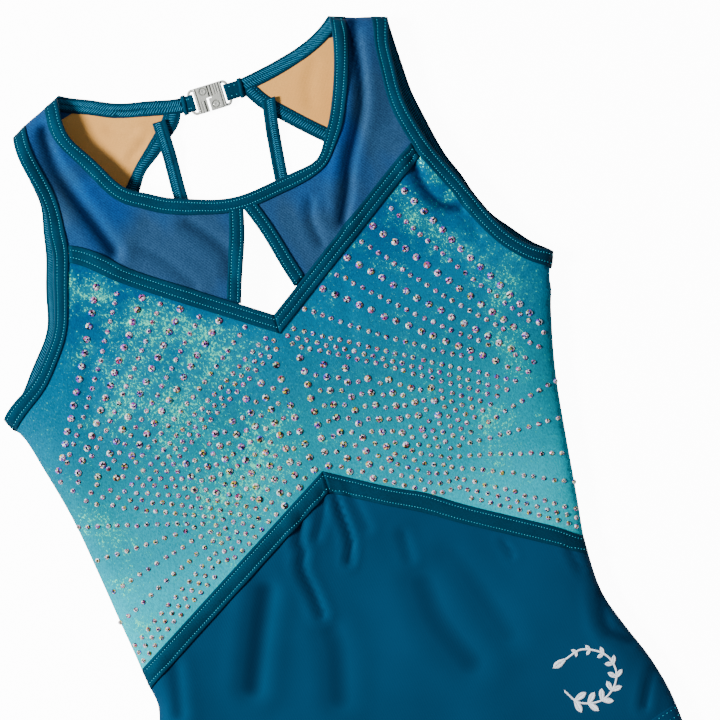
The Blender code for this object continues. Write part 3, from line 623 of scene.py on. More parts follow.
def closely_spaced(outline, spacing):
    """An outline with more points along its long straight stretches."""
    points = []
    for before, after in zip(outline, outline[1:] + outline[:1]):
        count = max(1, round((after - before).length / spacing))
        points += [before.lerp(after, index / count) for index in range(count)]
    return points


def sheet(name, outline, height, rise, thickness, look, spacing=GRID):
    """Sheet of cloth whose middle lies this far off its layer."""
    outline = closely_spaced(outline, spacing)
    points = outline + grid_points(outline, spacing)
    loop = [list(range(len(outline)))]
    flat, _, triangles, _, _, _ = delaunay_2d_cdt(points, [], loop, 1, 1e-5)
    spots = as_array(flat)
    base, normal = surface(height, spots)
    upper = base + normal * (rise + thickness / 2)
    lower = base + normal * (rise - thickness / 2)
    count = len(flat)
    faces = [tuple(triangle) for triangle in triangles]
    faces += [tuple(index + count for index in reversed(triangle)) for triangle in triangles]
    rim = set()
    for triangle in triangles:
        for start, end in zip(triangle, triangle[1:] + triangle[:1]):
            if (end, start) in rim:
                rim.remove((end, start))
            else:
                rim.add((start, end))
    faces += [(end, start, start + count, end + count) for start, end in sorted(rim)]
    made = piece(name, np.concatenate((upper, lower)), faces, look)
    # The valley attribute holds each point's crease depth; the looks paint shade into the creases from
    # it.
    valleys = FRONT_VALLEYS if height is front else BACK_VALLEYS
    depth = np.clip(-creases(valleys, spots[:, 0], spots[:, 1]), 0, DEEPEST)
    set_value(made, "valley", np.concatenate((depth, depth)))
    return made


def declare(outline):
    """Reads a sheet's pattern outline into an array of corners; nothing is kept or returned."""
    corners = as_array(outline)


def scatter(name, template, faces, centres, axes, sizes, look, smooth=True):
    """Copies of a small template at each centre, turned to its axes and scaled."""
    count = len(template)
    spread = template[None] * sizes[:, None, :]
    points = centres[:, None, :] + np.einsum("mvk,mkj->mvj", spread, axes)
    everything = []
    for index in range(len(centres)):
        shift = index * count
        everything += [tuple(corner + shift for corner in face) for face in faces]
    return piece(name, points.reshape(-1, 3), everything, look, smooth, turn=False)


def frames(directions, normals):
    """Right-handed axes whose first is the direction, laid into the surface."""
    first = directions - normals * (directions * normals).sum(-1, keepdims=True)
    first /= np.linalg.norm(first, axis=-1, keepdims=True)
    second = np.cross(normals, first)
    return np.stack((first, second, normals), 1)


def capsule():
    """A short thread end to end along the first axis, of unit half length and radius."""
    sides = 6
    points = [(-1.0, 0.0, 0.0)]
    for along, radius in ((-0.8, 0.72), (0.0, 1.0), (0.8, 0.72)):
        for side in range(sides):
            angle = 2 * math.pi * side / sides
            points.append((along, radius * math.cos(angle), radius * math.sin(angle)))
    points.append((1.0, 0.0, 0.0))
    faces = []
    for side in range(sides):
        after = (side + 1) % sides
        faces.append((0, 1 + after, 1 + side))
        for ring in (0, 1):
            low = 1 + ring * sides
            faces.append((low + side, low + after, low + sides + after, low + sides + side))
        faces.append((1 + 2 * sides + side, 1 + 2 * sides + after, 1 + 3 * sides))
    return np.array(points), faces


CAPSULE, CAPSULE_FACES = capsule()


def even_spots(path, pitch, skip, count=0):
    """Places along a path at an even pitch, and the path's direction there."""
    length = lengths_along(path)
    count = count or max(2, int((length[-1] - 2 * skip) / pitch))
    target = np.linspace(skip, length[-1] - skip, count)
    x = np.interp(target, length, path[:, 0])
    y = np.interp(target, length, path[:, 1])
    ahead = [np.interp(target + 0.6, length, part) - np.interp(target - 0.6, length, part)
             for part in path.T[:2]]
    return np.stack((x, y), -1), np.stack((*ahead, np.zeros_like(x)), -1)


def stitches(name, stations, parts, rise, height, look, pitch=STITCH_PITCH):
    """Rows of stitches at these parts of a band's width."""
    edge, across = as_arrays(stations)
    random = np.random.default_rng(len(stations))
    centres = []
    axes = []
    for part in parts:
        spots, ahead = even_spots(edge + across * part, pitch, pitch * 0.6)
        base, normal = surface(height, spots)
        turned = ahead + np.cross(normal, ahead) * random.normal(0, 0.05, (len(spots), 1))
        centres.append(base + normal * rise)
        axes.append(frames(turned, normal))
    centres = np.concatenate(centres)
    axes = np.concatenate(axes)
    size = np.array((STITCH_LENGTH / 2, THREAD, THREAD * 0.9))
    sizes = size * random.uniform(0.93, 1.07, (len(centres), 1))
    return scatter(name, CAPSULE, CAPSULE_FACES, centres, axes, sizes, look)


def tube(points, normals, radius, sides=6):
    """Points and faces of a thread along a line, its sides turned with the normals."""
    ahead = np.gradient(points, axis=0)
    ahead /= np.linalg.norm(ahead, axis=1, keepdims=True)
    side = np.cross(normals, ahead)
    side /= np.linalg.norm(side, axis=1, keepdims=True)
    up = np.cross(ahead, side)
    turn = np.arange(sides) * 2 * math.pi / sides
    ring = (side[:, None] * np.cos(turn)[None, :, None]
            + up[:, None] * np.sin(turn)[None, :, None]) * radius
    around = (points[:, None] + ring).reshape(-1, 3)
    faces = walls(len(points), sides)
    faces.append(tuple(reversed(range(sides))))
    faces.append(tuple(len(around) - sides + corner for corner in range(sides)))
    return around, faces


def joined(parts):
    """Points and faces of several shapes as one."""
    points = []
    faces = []
    shift = 0
    for spots, sides in parts:
        points.append(spots)
        faces += [tuple(corner + shift for corner in side) for side in sides]
        shift += len(spots)
    return np.concatenate(points), faces


def zigzag(stations, low, high, pitch, rise, height, phase):
    """A thread that runs to and fro between two parts of a band's width."""
    edge, across = as_arrays(stations)
    spots, _ = even_spots(edge, pitch / 2, pitch * 0.4)
    reach, _ = even_spots(edge + across, pitch / 2, pitch * 0.4)
    count = min(len(spots), len(reach))
    part = np.where((np.arange(count) + phase) % 2 == 0, low, high)[:, None]
    reach_x = np.interp(np.linspace(0, 1, count), np.linspace(0, 1, len(reach)), reach[:, 0])
    reach_y = np.interp(np.linspace(0, 1, count), np.linspace(0, 1, len(reach)), reach[:, 1])
    ends = np.stack((reach_x, reach_y), -1)
    corners = spots[:count] + (ends - spots[:count]) * part
    middles = (corners[1:] + corners[:-1]) / 2
    path = np.empty((2 * count - 1, 2))
    path[0::2] = corners
    path[1::2] = middles
    base, normal = surface(height, path)
    lift = np.full((len(path), 1), rise)
    lift[1::2] += THREAD * 0.5
    return tube(base + normal * lift, normal, THREAD)


def slanted_rows(stations, rows, rise, height, pitch):
    """Rows of long slanting threads; a row is its low part, its high part and its lean."""
    edge, across = as_arrays(stations)
    random = np.random.default_rng(len(stations) + 5)
    centres = []
    axes = []
    sizes = []
    for low, high, lean in rows:
        start, ahead = even_spots(edge + across * low, pitch, 1.2)
        end, _ = even_spots(edge + across * high, pitch, 1.2, len(start))
        flat = ahead[:, :2] / np.linalg.norm(ahead[:, :2], axis=1, keepdims=True)
        reach = end - start + flat * lean + random.normal(0, 0.06, start.shape)
        middle = (start + end) / 2
        base, normal = surface(height, middle)
        half = np.linalg.norm(reach, axis=1) / 2
        centres.append(base + normal * rise)
        axes.append(frames(np.concatenate((reach, np.zeros((len(reach), 1))), 1), normal))
        thread = np.full_like(half, LOOPER_THREAD)
        sizes.append(np.stack((half, thread, thread), -1))
    return np.concatenate(centres), np.concatenate(axes), np.concatenate(sizes)


def cover_stitch(name, stations, rows, rise, height, look, pitch=1.3, dots=None):
    """The inner side of a coverstitch: slanting looper threads, and a row of needle stitches."""
    centres, axes, sizes = slanted_rows(stations, rows, rise, height, pitch)
    if dots is not None:
        more = slanted_rows(stations, [(dots - 0.03, dots + 0.03, 0.35)], rise, height, 1.6)
        centres, axes, sizes = map(np.concatenate, zip((centres, axes, sizes), more))
    return scatter(name, CAPSULE, CAPSULE_FACES, centres, axes, sizes, look)


# ---------------------------------------------------------------- edges shared by the pieces

SIDES = (("right", list), ("left", mirror))


def both_sides(points):
    return [(-x, y) for x, y in reversed(points[1:])] + list(points)


def neck_front_stations():
    climb = Vector(FRONT_NECK[-1]) - Vector(FRONT_NECK[-2])
    along = Vector(SHOULDER[1]) - Vector(SHOULDER[0])
    end = slant(climb, along, BINDING)
    start = Vector((-end.x, end.y))
    return band(both_sides(FRONT_NECK), BINDING, start, end)


def neck_back_stations(end_x):
    climb = Vector(BACK_NECK[-1]) - Vector(BACK_NECK[-2])
    points = [(end_x, BAND_END_Y + (end_x - BAND_END_LEFT) * BAND_END_CLIMB)]
    points += [point for point in BACK_NECK if point[0] > end_x + 2]
    return band(points, BINDING, (0, -BINDING), slant(climb, BACK_SHOULDER, BINDING))


def armhole_stations(points):
    shoulder = Vector(SHOULDER[2]) - Vector(SHOULDER[3])
    seam = Vector(SIDE_SEAM[1]) - Vector(SIDE_SEAM[0])
    return cut_band(points, BINDING, shoulder, seam)


def leg_stations(points):
    seam = Vector(SIDE_SEAM[-2]) - Vector(SIDE_SEAM[-1])
    return cut_band(points, HEM, seam, (-1, 0))


def strip_stations(top, drop, slope, side):
    """The right half of a straight strip, from the centre line to a side edge."""
    foot = top - drop
    return between([(PAST_CENTRE, top), meeting(top, slope, side)],
                   [(PAST_CENTRE, foot), meeting(foot, slope, side)])


def keyhole_stations():
    """From the chest strip up to the neck binding."""
    down = Vector(KEYHOLE_FOOT) - Vector(KEYHOLE_APEX)
    width = right_of(-down) * BINDING
    foot_along = Vector((1, CHEST_SLOPE))
    top_along = Vector((1, 0.04))
    foot = foot_along * (BINDING / foot_along.dot(width.normalized()))
    top = top_along * (BINDING / top_along.dot(width.normalized()))
    foot_point = Vector(KEYHOLE_FOOT)
    top_point = Vector(KEYHOLE_APEX) - down.normalized() * KEYHOLE_TUCK
    return between([foot_point, top_point], [foot_point + foot, top_point + top])


def diagonal_stations(top):
    """From the back bodice's edge up to the back neck band."""
    return cut_band(BACK_DIAGONAL + [top], BINDING, (1, BACK_V_SLOPE), (1, 0.1))


# ---------------------------------------------------------------- panel outlines

def shoulder_part(start, end):
    low, high = start.x + CORNER_GAP, end.x - CORNER_GAP
    return [point for point in curve(SHOULDER) if low < point.x < high]


def above(side, height, slope):
    """The part of a side above a straight seam, and the corner where they meet."""
    corner = meeting(height, slope, side)
    return [point for point in side if point.y > corner.y + CORNER_GAP], corner


def front_yoke_edges(neck, armhole, keyhole, depth):
    """The right yoke's four sides, this far in from its free edges, clockwise from the neck."""
    seam = CHEST_TOP - STRIP_DROP / 2 + GAP
    neck_side = [point for point in inset(neck, depth) if point.x > max(2.0, depth)]
    arm_side, corner = above(inset(armhole, depth), seam, CHEST_SLOPE)
    key_side = inset(keyhole, depth)
    carried_on = key_side[0] * 8 - key_side[1] * 7      # past the side's foot, to cross the seam
    foot = meeting(seam, CHEST_SLOPE, [carried_on, key_side[-1]])
    key_side = [point for point in key_side if point.y > foot.y + CORNER_GAP]
    return neck_side, arm_side, line(corner, foot), key_side


def front_yoke_outline(neck, armhole, keyhole):
    neck_side, arm_side, chest, key_side = front_yoke_edges(neck, armhole, keyhole, EDGE_INSET)
    top = [Vector((0.4, neck_side[0].y))]
    return top + neck_side + shoulder_part(neck_side[-1], arm_side[0]) + arm_side + chest + key_side


def front_lining_outline(neck, armhole, keyhole):
    neck_side, arm_side, chest, key_side = front_yoke_edges(neck, armhole, keyhole, LINING_INSET)
    neck_side = [point for point in neck_side if point.y < FRONT_LINING_END]
    arm_side = [point for point in arm_side if point.y < FRONT_LINING_END]
    return neck_side + arm_side + chest + key_side


def bodice_outline(top, slope, armhole):
    """Right half of a bodice panel, closed by its mirror image."""
    arm_side = inset(armhole, EDGE_INSET)
    corner = meeting(top, slope, arm_side)
    waist = WAIST_TOP - WAIST_DROP / 2 + GAP
    seam = curve(SIDE_SEAM)
    hip = meeting(waist, WAIST_SLOPE, seam)
    edge = line((0, top), corner)
    edge += within(arm_side, -20, corner.y - CORNER_GAP)
    edge += within(seam, hip.y + CORNER_GAP, edge[-1].y - CORNER_GAP)
    return mirrored_outline(edge + line(hip, (0, waist)))


def brief_outline(leg):
    waist = WAIST_TOP - WAIST_DROP / 2 - GAP
    seam = curve(SIDE_SEAM)
    hip = meeting(waist, WAIST_SLOPE, seam)
    leg_side = inset(leg, EDGE_INSET, HEM)
    edge = line((0, waist), hip)
    edge += within(seam, leg_side[0].y + CORNER_GAP, hip.y - CORNER_GAP)
    edge += leg_side
    return mirrored_outline(edge + line((leg_side[-1].x - STEP, CROTCH_Y), (0, CROTCH_Y)))


def mirrored_outline(edge):
    """Close a right half, which starts and ends on the centre line, with its mirror image."""
    return edge + mirror(reversed(edge[1:-1]))


def gusset_outline(leg):
    side = within(inset(leg, HEM + 0.8, HEM), CROTCH_Y + 8, GUSSET_TOP)
    return side + mirror(reversed(side))


def back_yoke_edges(neck, armhole, diagonal, depth):
    """The right back yoke's four sides, this far in from its free edges, from the neck band."""
    seam = BACK_V_TOP + 0.4
    neck_side = inset(neck, depth)[1:]
    arm_side, corner = above(inset(armhole, depth), seam, BACK_V_SLOPE)
    diagonal_side = [point for point in inset(diagonal, depth)
                     if point.y > seam + BACK_V_SLOPE * point.x + CORNER_GAP]
    carried_on = diagonal_side[1] * 5 - diagonal_side[2] * 4
    foot = meeting(seam, BACK_V_SLOPE, [carried_on, diagonal_side[3]])
    return neck_side, arm_side, line(corner, foot), diagonal_side[1:]


def back_yoke_outline(neck, armhole, diagonal):
    neck_side, arm_side, seam, diagonal_side = back_yoke_edges(neck, armhole, diagonal, EDGE_INSET)
    tip = [Vector((diagonal_side[-1].x, neck_side[0].y - 1.0))]
    top = [point for point in neck_side if point.x > tip[0].x + 1]
    return tip + top + shoulder_part(neck_side[-1], arm_side[0]) + arm_side + seam + diagonal_side


def back_lining_outline(neck, armhole, diagonal):
    neck_side, arm_side, seam, diagonal_side = back_yoke_edges(neck, armhole, diagonal, LINING_INSET)
    roof = neck_side[0].y - 2.0
    diagonal_side = [point for point in diagonal_side if point.y < roof]
    first = diagonal_side[-1].x + 1.5
    neck_side = [point for point in neck_side if point.x > first and point.y < LINING_NECK_END]
    arm_side = [point for point in arm_side if point.y < LINING_ARM_END]
    return neck_side + arm_side + seam + diagonal_side


# ---------------------------------------------------------------- materials

def node(tree, kind, inputs=None, **settings):
    """A shader node; each input takes a value or another node's output."""
    made = tree.nodes.new(kind)
    for key, value in settings.items():
        setattr(made, key, value)
    for key, value in (inputs or {}).items():
        if isinstance(value, bpy.types.NodeSocket):
            tree.links.new(value, made.inputs[key])
        else:
            made.inputs[key].default_value = value
    return made


def start_look(name, roughness, metallic=0.0, sheen=0.0, coat=0.0, gloss=None):
    """A new material; gloss tints what it reflects, as dyed cloth does."""
    made = bpy.data.materials.new(name)
    made.use_nodes = True
    tree = made.node_tree
    shader = tree.nodes["Principled BSDF"]
    values = {"Roughness": roughness, "Metallic": metallic, "Sheen Weight": sheen,
              "Coat Weight": coat}
    if gloss:
        values.update({"Specular Tint": (*gloss, 1.0), "Sheen Tint": (*gloss, 1.0)})
    for key, value in values.items():
        shader.inputs[key].default_value = value
    return made, tree, shader


def spots_in_space(tree):
    return node(tree, "ShaderNodeTexCoord").outputs["Object"]


def noise_of(tree, vector, scale, detail=2.0, roughness=0.5):
    inputs = {"Vector": vector, "Scale": scale, "Detail": detail, "Roughness": roughness}
    return node(tree, "ShaderNodeTexNoise", inputs).outputs["Fac"]


def wave_of(tree, vector, scale, distortion=0.0, direction="X"):
    inputs = {"Vector": vector, "Scale": scale, "Distortion": distortion}
    return node(tree, "ShaderNodeTexWave", inputs, bands_direction=direction).outputs["Fac"]


def turned(tree, vector, degrees, stretch=(1, 1, 1)):
    inputs = {"Vector": vector, "Rotation": (0, 0, math.radians(degrees)), "Scale": stretch}
    return node(tree, "ShaderNodeMapping", inputs).outputs["Vector"]


def mapped(tree, value, low, high, to_low=0.0, to_high=1.0):
    inputs = {"Value": value, "From Min": low, "From Max": high, "To Min": to_low,
              "To Max": to_high}
    return node(tree, "ShaderNodeMapRange", inputs).outputs["Result"]


def maths(tree, operation, first, second):
    made = node(tree, "ShaderNodeMath", operation=operation)
    for index, value in enumerate((first, second)):
        if isinstance(value, bpy.types.NodeSocket):
            tree.links.new(value, made.inputs[index])
        else:
            made.inputs[index].default_value = value
    return made.outputs[0]


def mixed(tree, amount, first, second, blend="MIX"):
    """Mix of two colours, each a value or an output."""
    made = node(tree, "ShaderNodeMix", data_type="RGBA", blend_type=blend)
    for index, value in ((0, amount), (6, first), (7, second)):
        if isinstance(value, bpy.types.NodeSocket):
            tree.links.new(value, made.inputs[index])
        elif index:
            made.inputs[index].default_value = (*value, 1.0)
        else:
            made.inputs[index].default_value = value
    return made.outputs[2]


def toned(tree, noise, dark, light):
    """A colour that drifts between two tones with a noise."""
    return mixed(tree, mapped(tree, noise, 0.3, 0.7), dark, light)


def times(tree, colour, tint):
    return mixed(tree, 1.0, colour, tint, "MULTIPLY")


def paint(tree, shader, colour):
    tree.links.new(colour, shader.inputs["Base Color"])


def ramp(tree, value, stops):
    made = node(tree, "ShaderNodeValToRGB", {"Fac": value})
    elements = made.color_ramp.elements
    elements.remove(elements[1])
    elements[0].position = stops[0][0]
    elements[0].color = (*stops[0][1], 1.0)
    for place, colour in stops[1:]:
        elements.new(place).color = (*colour, 1.0)
    return made.outputs["Color"]


def bump(tree, shader, height, strength, distance):
    inputs = {"Height": height, "Strength": strength, "Distance": distance}
    made = node(tree, "ShaderNodeBump", inputs)
    tree.links.new(made.outputs["Normal"], shader.inputs["Normal"])


def value_of(tree, name):
    return node(tree, "ShaderNodeAttribute", attribute_name=name).outputs["Fac"]


def painted_crease_shade(tree, shader, colour, shade_tint, full=2.0, shine=0.5):
    """Painted shade: darkens and dulls the bottom of a crease, where little light comes in."""
    amount = mapped(tree, value_of(tree, "valley"), 0.15, full)
    paint(tree, shader, mixed(tree, amount, colour, times(tree, colour, shade_tint)))
    shader.inputs["Specular IOR Level"].default_value = shine
    tree.links.new(mapped(tree, amount, 0.0, 1.0, shine, 0.1), shader.inputs["Specular IOR Level"])


def knit(tree, vector, scale, degrees=0.0):
    """Fine ribs crossed by rows, as a machine knit shows them."""
    ribs = wave_of(tree, turned(tree, vector, degrees), scale, 0.6)
    rows = wave_of(tree, turned(tree, vector, degrees), scale * 0.8, 0.8, "Y")
    return maths(tree, "ADD", maths(tree, "MULTIPLY", ribs, 0.6), maths(tree, "MULTIPLY", rows, 0.4))


def binding_look():
    made, tree, shader = start_look("binding_cloth", 0.62, sheen=0.03, gloss=(0.0, 0.30, 0.50))
    space = spots_in_space(tree)
    cloud = noise_of(tree, space, 45.0, 3.0)
    fine = noise_of(tree, space, 1500.0, 2.0)
    tone = toned(tree, cloud, (0.0015, 0.019, 0.039), (0.002, 0.027, 0.054))
    paint(tree, shader, times(tree, tone, toned(tree, fine, (0.72, 0.72, 0.72), (1.2, 1.2, 1.2))))
    texture = maths(tree, "ADD", knit(tree, space, 420.0, 35.0), fine)
    bump(tree, shader, texture, 0.25, 0.0002)
    return made


def brief_look():
    made, tree, shader = start_look("brief_cloth", 0.6, sheen=0.03, gloss=(0.0, 0.25, 0.50))
    space = spots_in_space(tree)
    cloud = noise_of(tree, space, 14.0, 3.0)
    fine = noise_of(tree, space, 1800.0, 2.0)
    tone = toned(tree, cloud, (0.001, 0.029, 0.070), (0.002, 0.037, 0.088))
    twill = wave_of(tree, turned(tree, space, 32.0), 380.0, 1.2)
    grain = mixed(tree, mapped(tree, twill, 0.0, 1.0), (0.88, 0.88, 0.88), (1.08, 1.08, 1.08))
    # Painted shade at the bottom of the brief's creases, darkest where the valley attribute is high.
    painted_crease_shade(tree, shader, times(tree, tone, grain), (0.30, 0.30, 0.36))
    bump(tree, shader, maths(tree, "ADD", twill, fine), 0.18, 0.0002)
    return made


def yoke_look():
    made, tree, shader = start_look("yoke_mesh", 0.6, sheen=0.06, gloss=(0.10, 0.35, 0.70))
    space = spots_in_space(tree)
    cloud = noise_of(tree, turned(tree, space, 20.0, (1.0, 0.35, 1.0)), 60.0, 2.0)
    # The patch value and a cloud noise move the mesh between a dull navy and a bright blue: partly the
    # mesh's own uneven tone, partly painted highlight on its lit ridges and painted shade in its
    # folds.
    patch = value_of(tree, "patch")
    vivid_tone_and_light = mapped(tree, maths(tree, "ADD", cloud, patch), 0.35, 1.1)
    tone = mixed(tree, vivid_tone_and_light, (0.011, 0.036, 0.090), (0.000, 0.034, 0.160))
    holes = node(tree, "ShaderNodeTexVoronoi", {"Vector": turned(tree, space, 28.0, (1.0, 1.5, 1.0)),
                                                "Scale": 1150.0}).outputs["Distance"]
    weave = mixed(tree, mapped(tree, holes, 0.1, 0.6), (0.50, 0.56, 0.64), (1.55, 1.45, 1.3))
    twill = wave_of(tree, turned(tree, space, -38.0), 260.0, 1.5)
    ribs = mixed(tree, twill, (0.80, 0.82, 0.85), (1.22, 1.2, 1.16))
    colour = times(tree, times(tree, tone, weave), ribs)
    # Painted shade at the bottom of the yoke's creases.
    painted_crease_shade(tree, shader, colour, (0.10, 0.15, 0.22), 1.9)
    bump(tree, shader, holes, 0.35, 0.0002)
    return made


OMBRE = [(-150, (0.000, 0.400, 0.470)), (-112, (0.000, 0.350, 0.440)), (-90, (0.000, 0.245, 0.320)),
         (-70, (0.000, 0.215, 0.285)), (-45, (0.000, 0.165, 0.230)), (-30, (0.000, 0.135, 0.210)),
         (15, (0.000, 0.100, 0.200)), (40, (0.000, 0.065, 0.160)), (80, (0.000, 0.050, 0.150))]


def bodice_look():
    """Blue to mint ombre under broken foil, whose mint flecks crowd where the patch value is high:
    partly denser foil, partly painted glint where the foil catches the light.
    """
    made, tree, shader = start_look("bodice_foil", 0.42, gloss=(0.0, 0.45, 0.60))
    space = spots_in_space(tree)
    height = node(tree, "ShaderNodeSeparateXYZ", {"Vector": space}).outputs["Y"]
    foot, top = OMBRE[0][0], OMBRE[-1][0]
    low = (foot + UNDERARM_Y) * MM
    high = (top + UNDERARM_Y) * MM
    stops = [((at - foot) / (top - foot), colour) for at, colour in OMBRE]
    cloud = noise_of(tree, space, 30.0, 3.0)
    wander = mapped(tree, cloud, 0.0, 1.0, -0.006, 0.006)
    ombre = ramp(tree, mapped(tree, maths(tree, "ADD", height, wander), low, high), stops)
    fine = noise_of(tree, turned(tree, space, 40.0, (1.0, 0.5, 1.0)), 1500.0, 2.0, 0.7)
    cloth = times(tree, ombre, toned(tree, fine, (0.66, 0.70, 0.74), (1.34, 1.30, 1.26)))
    flecks, foil_density_and_glint = foil_flecks(tree, space)
    # A teal tint over the cloth where the flecks crowd: partly the foil's own tint, partly painted
    # sheen where the foil catches the light.
    sheen_and_foil_tint = mixed(tree, maths(tree, "MULTIPLY", foil_density_and_glint, 0.40), cloth, (0.0, 0.30, 0.31))
    # The flecks' bright mint is the foil's own colour with a painted glint on top.
    colour = mixed(tree, flecks, sheen_and_foil_tint, (0.12, 0.95, 0.58))
    # Painted shade at the bottom of the bodice's creases.
    painted_crease_shade(tree, shader, colour, (0.20, 0.22, 0.32), 1.7, 0.3)
    tree.links.new(mapped(tree, flecks, 0.0, 1.0, 0.05, 0.35), shader.inputs["Metallic"])
    tree.links.new(mapped(tree, flecks, 0.0, 1.0, 0.46, 0.28), shader.inputs["Roughness"])
    bump(tree, shader, maths(tree, "ADD", fine, maths(tree, "MULTIPLY", flecks, 0.6)), 0.22, 0.0002)
    return made


def foil_flecks(tree, space):
    """Ragged specks and short cracks, thickest where the patch value is high."""
    cloud = noise_of(tree, space, 120.0, 4.0, 0.65)
    # Where the flecks crowd, from the patch value and a cloud noise: partly denser foil, partly
    # painted glint where the foil catches the light.
    foil_density_and_glint = mapped(tree, maths(tree, "ADD", cloud, value_of(tree, "patch")), 0.55, 1.0)
    specks = noise_of(tree, turned(tree, space, 30.0, (1.0, 0.7, 1.0)), 950.0, 3.0, 0.75)
    clumps = maths(tree, "MULTIPLY", noise_of(tree, space, 260.0, 2.0, 0.6), 0.16)
    reach = maths(tree, "ADD", specks, maths(tree, "MULTIPLY", foil_density_and_glint, 0.13))
    reach = maths(tree, "ADD", reach, maths(tree, "ADD", clumps, -0.08))
    ragged = mapped(tree, reach, 0.655, 0.70)
    push = node(tree, "ShaderNodeTexNoise", {"Vector": space, "Scale": 500.0, "Detail": 3.0})
    bent = node(tree, "ShaderNodeMixRGB", {"Fac": 0.003, "Color1": space,
                                           "Color2": push.outputs["Color"]})
    bent.blend_type = "ADD"
    cells = node(tree, "ShaderNodeTexVoronoi", {"Vector": bent.outputs["Color"], "Scale": 420.0},
                 feature="DISTANCE_TO_EDGE").outputs["Distance"]
    cracks = maths(tree, "MULTIPLY", mapped(tree, cells, 0.02, 0.07, 1.0, 0.0),
                   mapped(tree, reach, 0.60, 0.66))
    both = maths(tree, "MAXIMUM", ragged, cracks)
    return maths(tree, "MULTIPLY", both, mapped(tree, foil_density_and_glint, 0.0, 0.30, 0.25, 1.0)), foil_density_and_glint


def nude_look():
    made, tree, shader = start_look("nude_lining", 0.75, gloss=(0.5, 0.3, 0.15))
    space = spots_in_space(tree)
    cloud = noise_of(tree, space, 30.0, 3.0)
    fine = noise_of(tree, space, 1600.0, 2.0)
    tone = toned(tree, cloud, (0.740, 0.345, 0.080), (0.800, 0.390, 0.100))
    paint(tree, shader, times(tree, tone, toned(tree, fine, (0.92, 0.91, 0.90), (1.05, 1.05, 1.05))))
    bump(tree, shader, maths(tree, "ADD", knit(tree, space, 400.0, 10.0), fine), 0.2, 0.0002)
    return made


def elastic_look():
    made, tree, shader = start_look("elastic", 0.8)
    lines = node(tree, "ShaderNodeUVMap", uv_map="lines").outputs["UV"]
    ribs = wave_of(tree, lines, 0.35, 0.3)
    paint(tree, shader, mixed(tree, ribs, (0.60, 0.60, 0.57), (0.82, 0.82, 0.80)))
    bump(tree, shader, ribs, 0.6, 0.0003)
    return made


def thread_look(name, dark, light, roughness=0.45, gloss=(0.1, 0.5, 0.6)):
    made, tree, shader = start_look(name, roughness, gloss=gloss)
    space = spots_in_space(tree)
    cloud = noise_of(tree, space, 700.0, 2.0)
    twist = wave_of(tree, turned(tree, space, 38.0), 900.0, 0.5)
    paint(tree, shader, toned(tree, cloud, dark, light))
    bump(tree, shader, twist, 0.3, 0.0001)
    return made


def stone_look():
    made, tree, shader = start_look("rhinestone", 0.12, metallic=0.2, coat=0.4)
    facet = node(tree, "ShaderNodeAttribute", attribute_name="facet").outputs["Color"]
    # Painted sparkle: a fine noise brightens some facets and darkens others.
    fire = noise_of(tree, spots_in_space(tree), 2600.0, 1.0)
    shine = toned(tree, fire, (0.75, 0.75, 0.75), (1.25, 1.25, 1.25))
    paint(tree, shader, times(tree, facet, shine))
    return made


def clasp_look():
    made, tree, shader = start_look("clasp_plastic", 0.16, coat=1.0)
    space = spots_in_space(tree)
    cloud = noise_of(tree, space, 160.0, 2.0)
    tone = toned(tree, cloud, (0.54, 0.55, 0.50), (0.70, 0.70, 0.64))
    # Painted shade in the clasp's grooves, from their depth.
    painted_crease_shade(tree, shader, tone, (0.22, 0.23, 0.21), 0.7)
    shader.inputs["Transmission Weight"].default_value = 0.3
    shader.inputs["IOR"].default_value = 1.5
    scratches = noise_of(tree, turned(tree, space, 15.0, (1.0, 6.0, 1.0)), 500.0, 2.0)
    bump(tree, shader, scratches, 0.12, 0.0002)
    return made


# ---------------------------------------------------------------- panels

# Spots of the yokes' patch value: positive ones paint highlight where the mesh rises towards the
# light, negative ones paint shade in its folds, partly also the mesh's own uneven tone.
YOKE_TONE_AND_LIGHT = [((-84, 132), 9, 0.5), ((-76, 112), 10, 0.6), ((-66, 96), 12, 0.4), ((-92, 156), 10, 0.4),
              ((-56, 78), 14, -0.2), ((-30, 56), 14, -0.4), ((-98, 104), 8, -0.4),
              ((-30, 68), 12, -0.3),
              ((66, 100), 8, 0.6), ((56, 86), 10, 0.7), ((70, 122), 7, 0.4), ((40, 74), 12, 0.1),
              ((88, 112), 12, -0.5), ((90, 96), 12, -0.4), ((24, 68), 10, -0.2), ((36, 50), 10, -0.5),
              ((94, 150), 8, 0.1)]
# Spots of the bodice's patch value: partly denser foil, partly painted glint and sheen where the foil
# catches the light.
FOIL_DENSITY_AND_GLINT_PATCHES = [((-66, -17), 26, 0.36), ((-62, -75), 22, 0.30), ((-34, -66), 20, 0.36),
                ((-88, 12), 15, 0.28), ((-76, 36), 12, 0.30), ((-60, 30), 13, 0.34),
                ((-44, 16), 13, 0.32), ((-30, 2), 15, 0.24), ((-104, 66), 9, 0.36),
                ((-93, 54), 9, 0.32), ((-84, 58), 7, 0.30), ((-125, -64), 10, 0.34),
                ((-116, -80), 10, 0.26), ((-124, -100), 8, 0.32), ((-118, -125), 10, 0.30),
                ((-100, -10), 12, 0.24), ((-20, -40), 16, 0.22), ((-108, 28), 9, 0.20),
                ((86, 52), 8, 0.36), ((103, 74), 5, 0.40), ((108, 62), 6, 0.36),
                ((113, 50), 6, 0.26), ((92, 42), 7, 0.30), ((98, 33), 7, 0.30),
                ((105, 24), 8, 0.28), ((114, 15), 8, 0.26), ((122, 2), 8, 0.26),
                ((132, -8), 8, 0.30), ((135, 7), 7, 0.26), ((119, -13), 8, 0.30),
                ((117, -36), 9, 0.26), ((119, -52), 9, 0.26), ((96, -76), 12, 0.30),
                ((90, -100), 12, 0.22), ((70, 20), 10, 0.14), ((60, -20), 14, 0.10)]


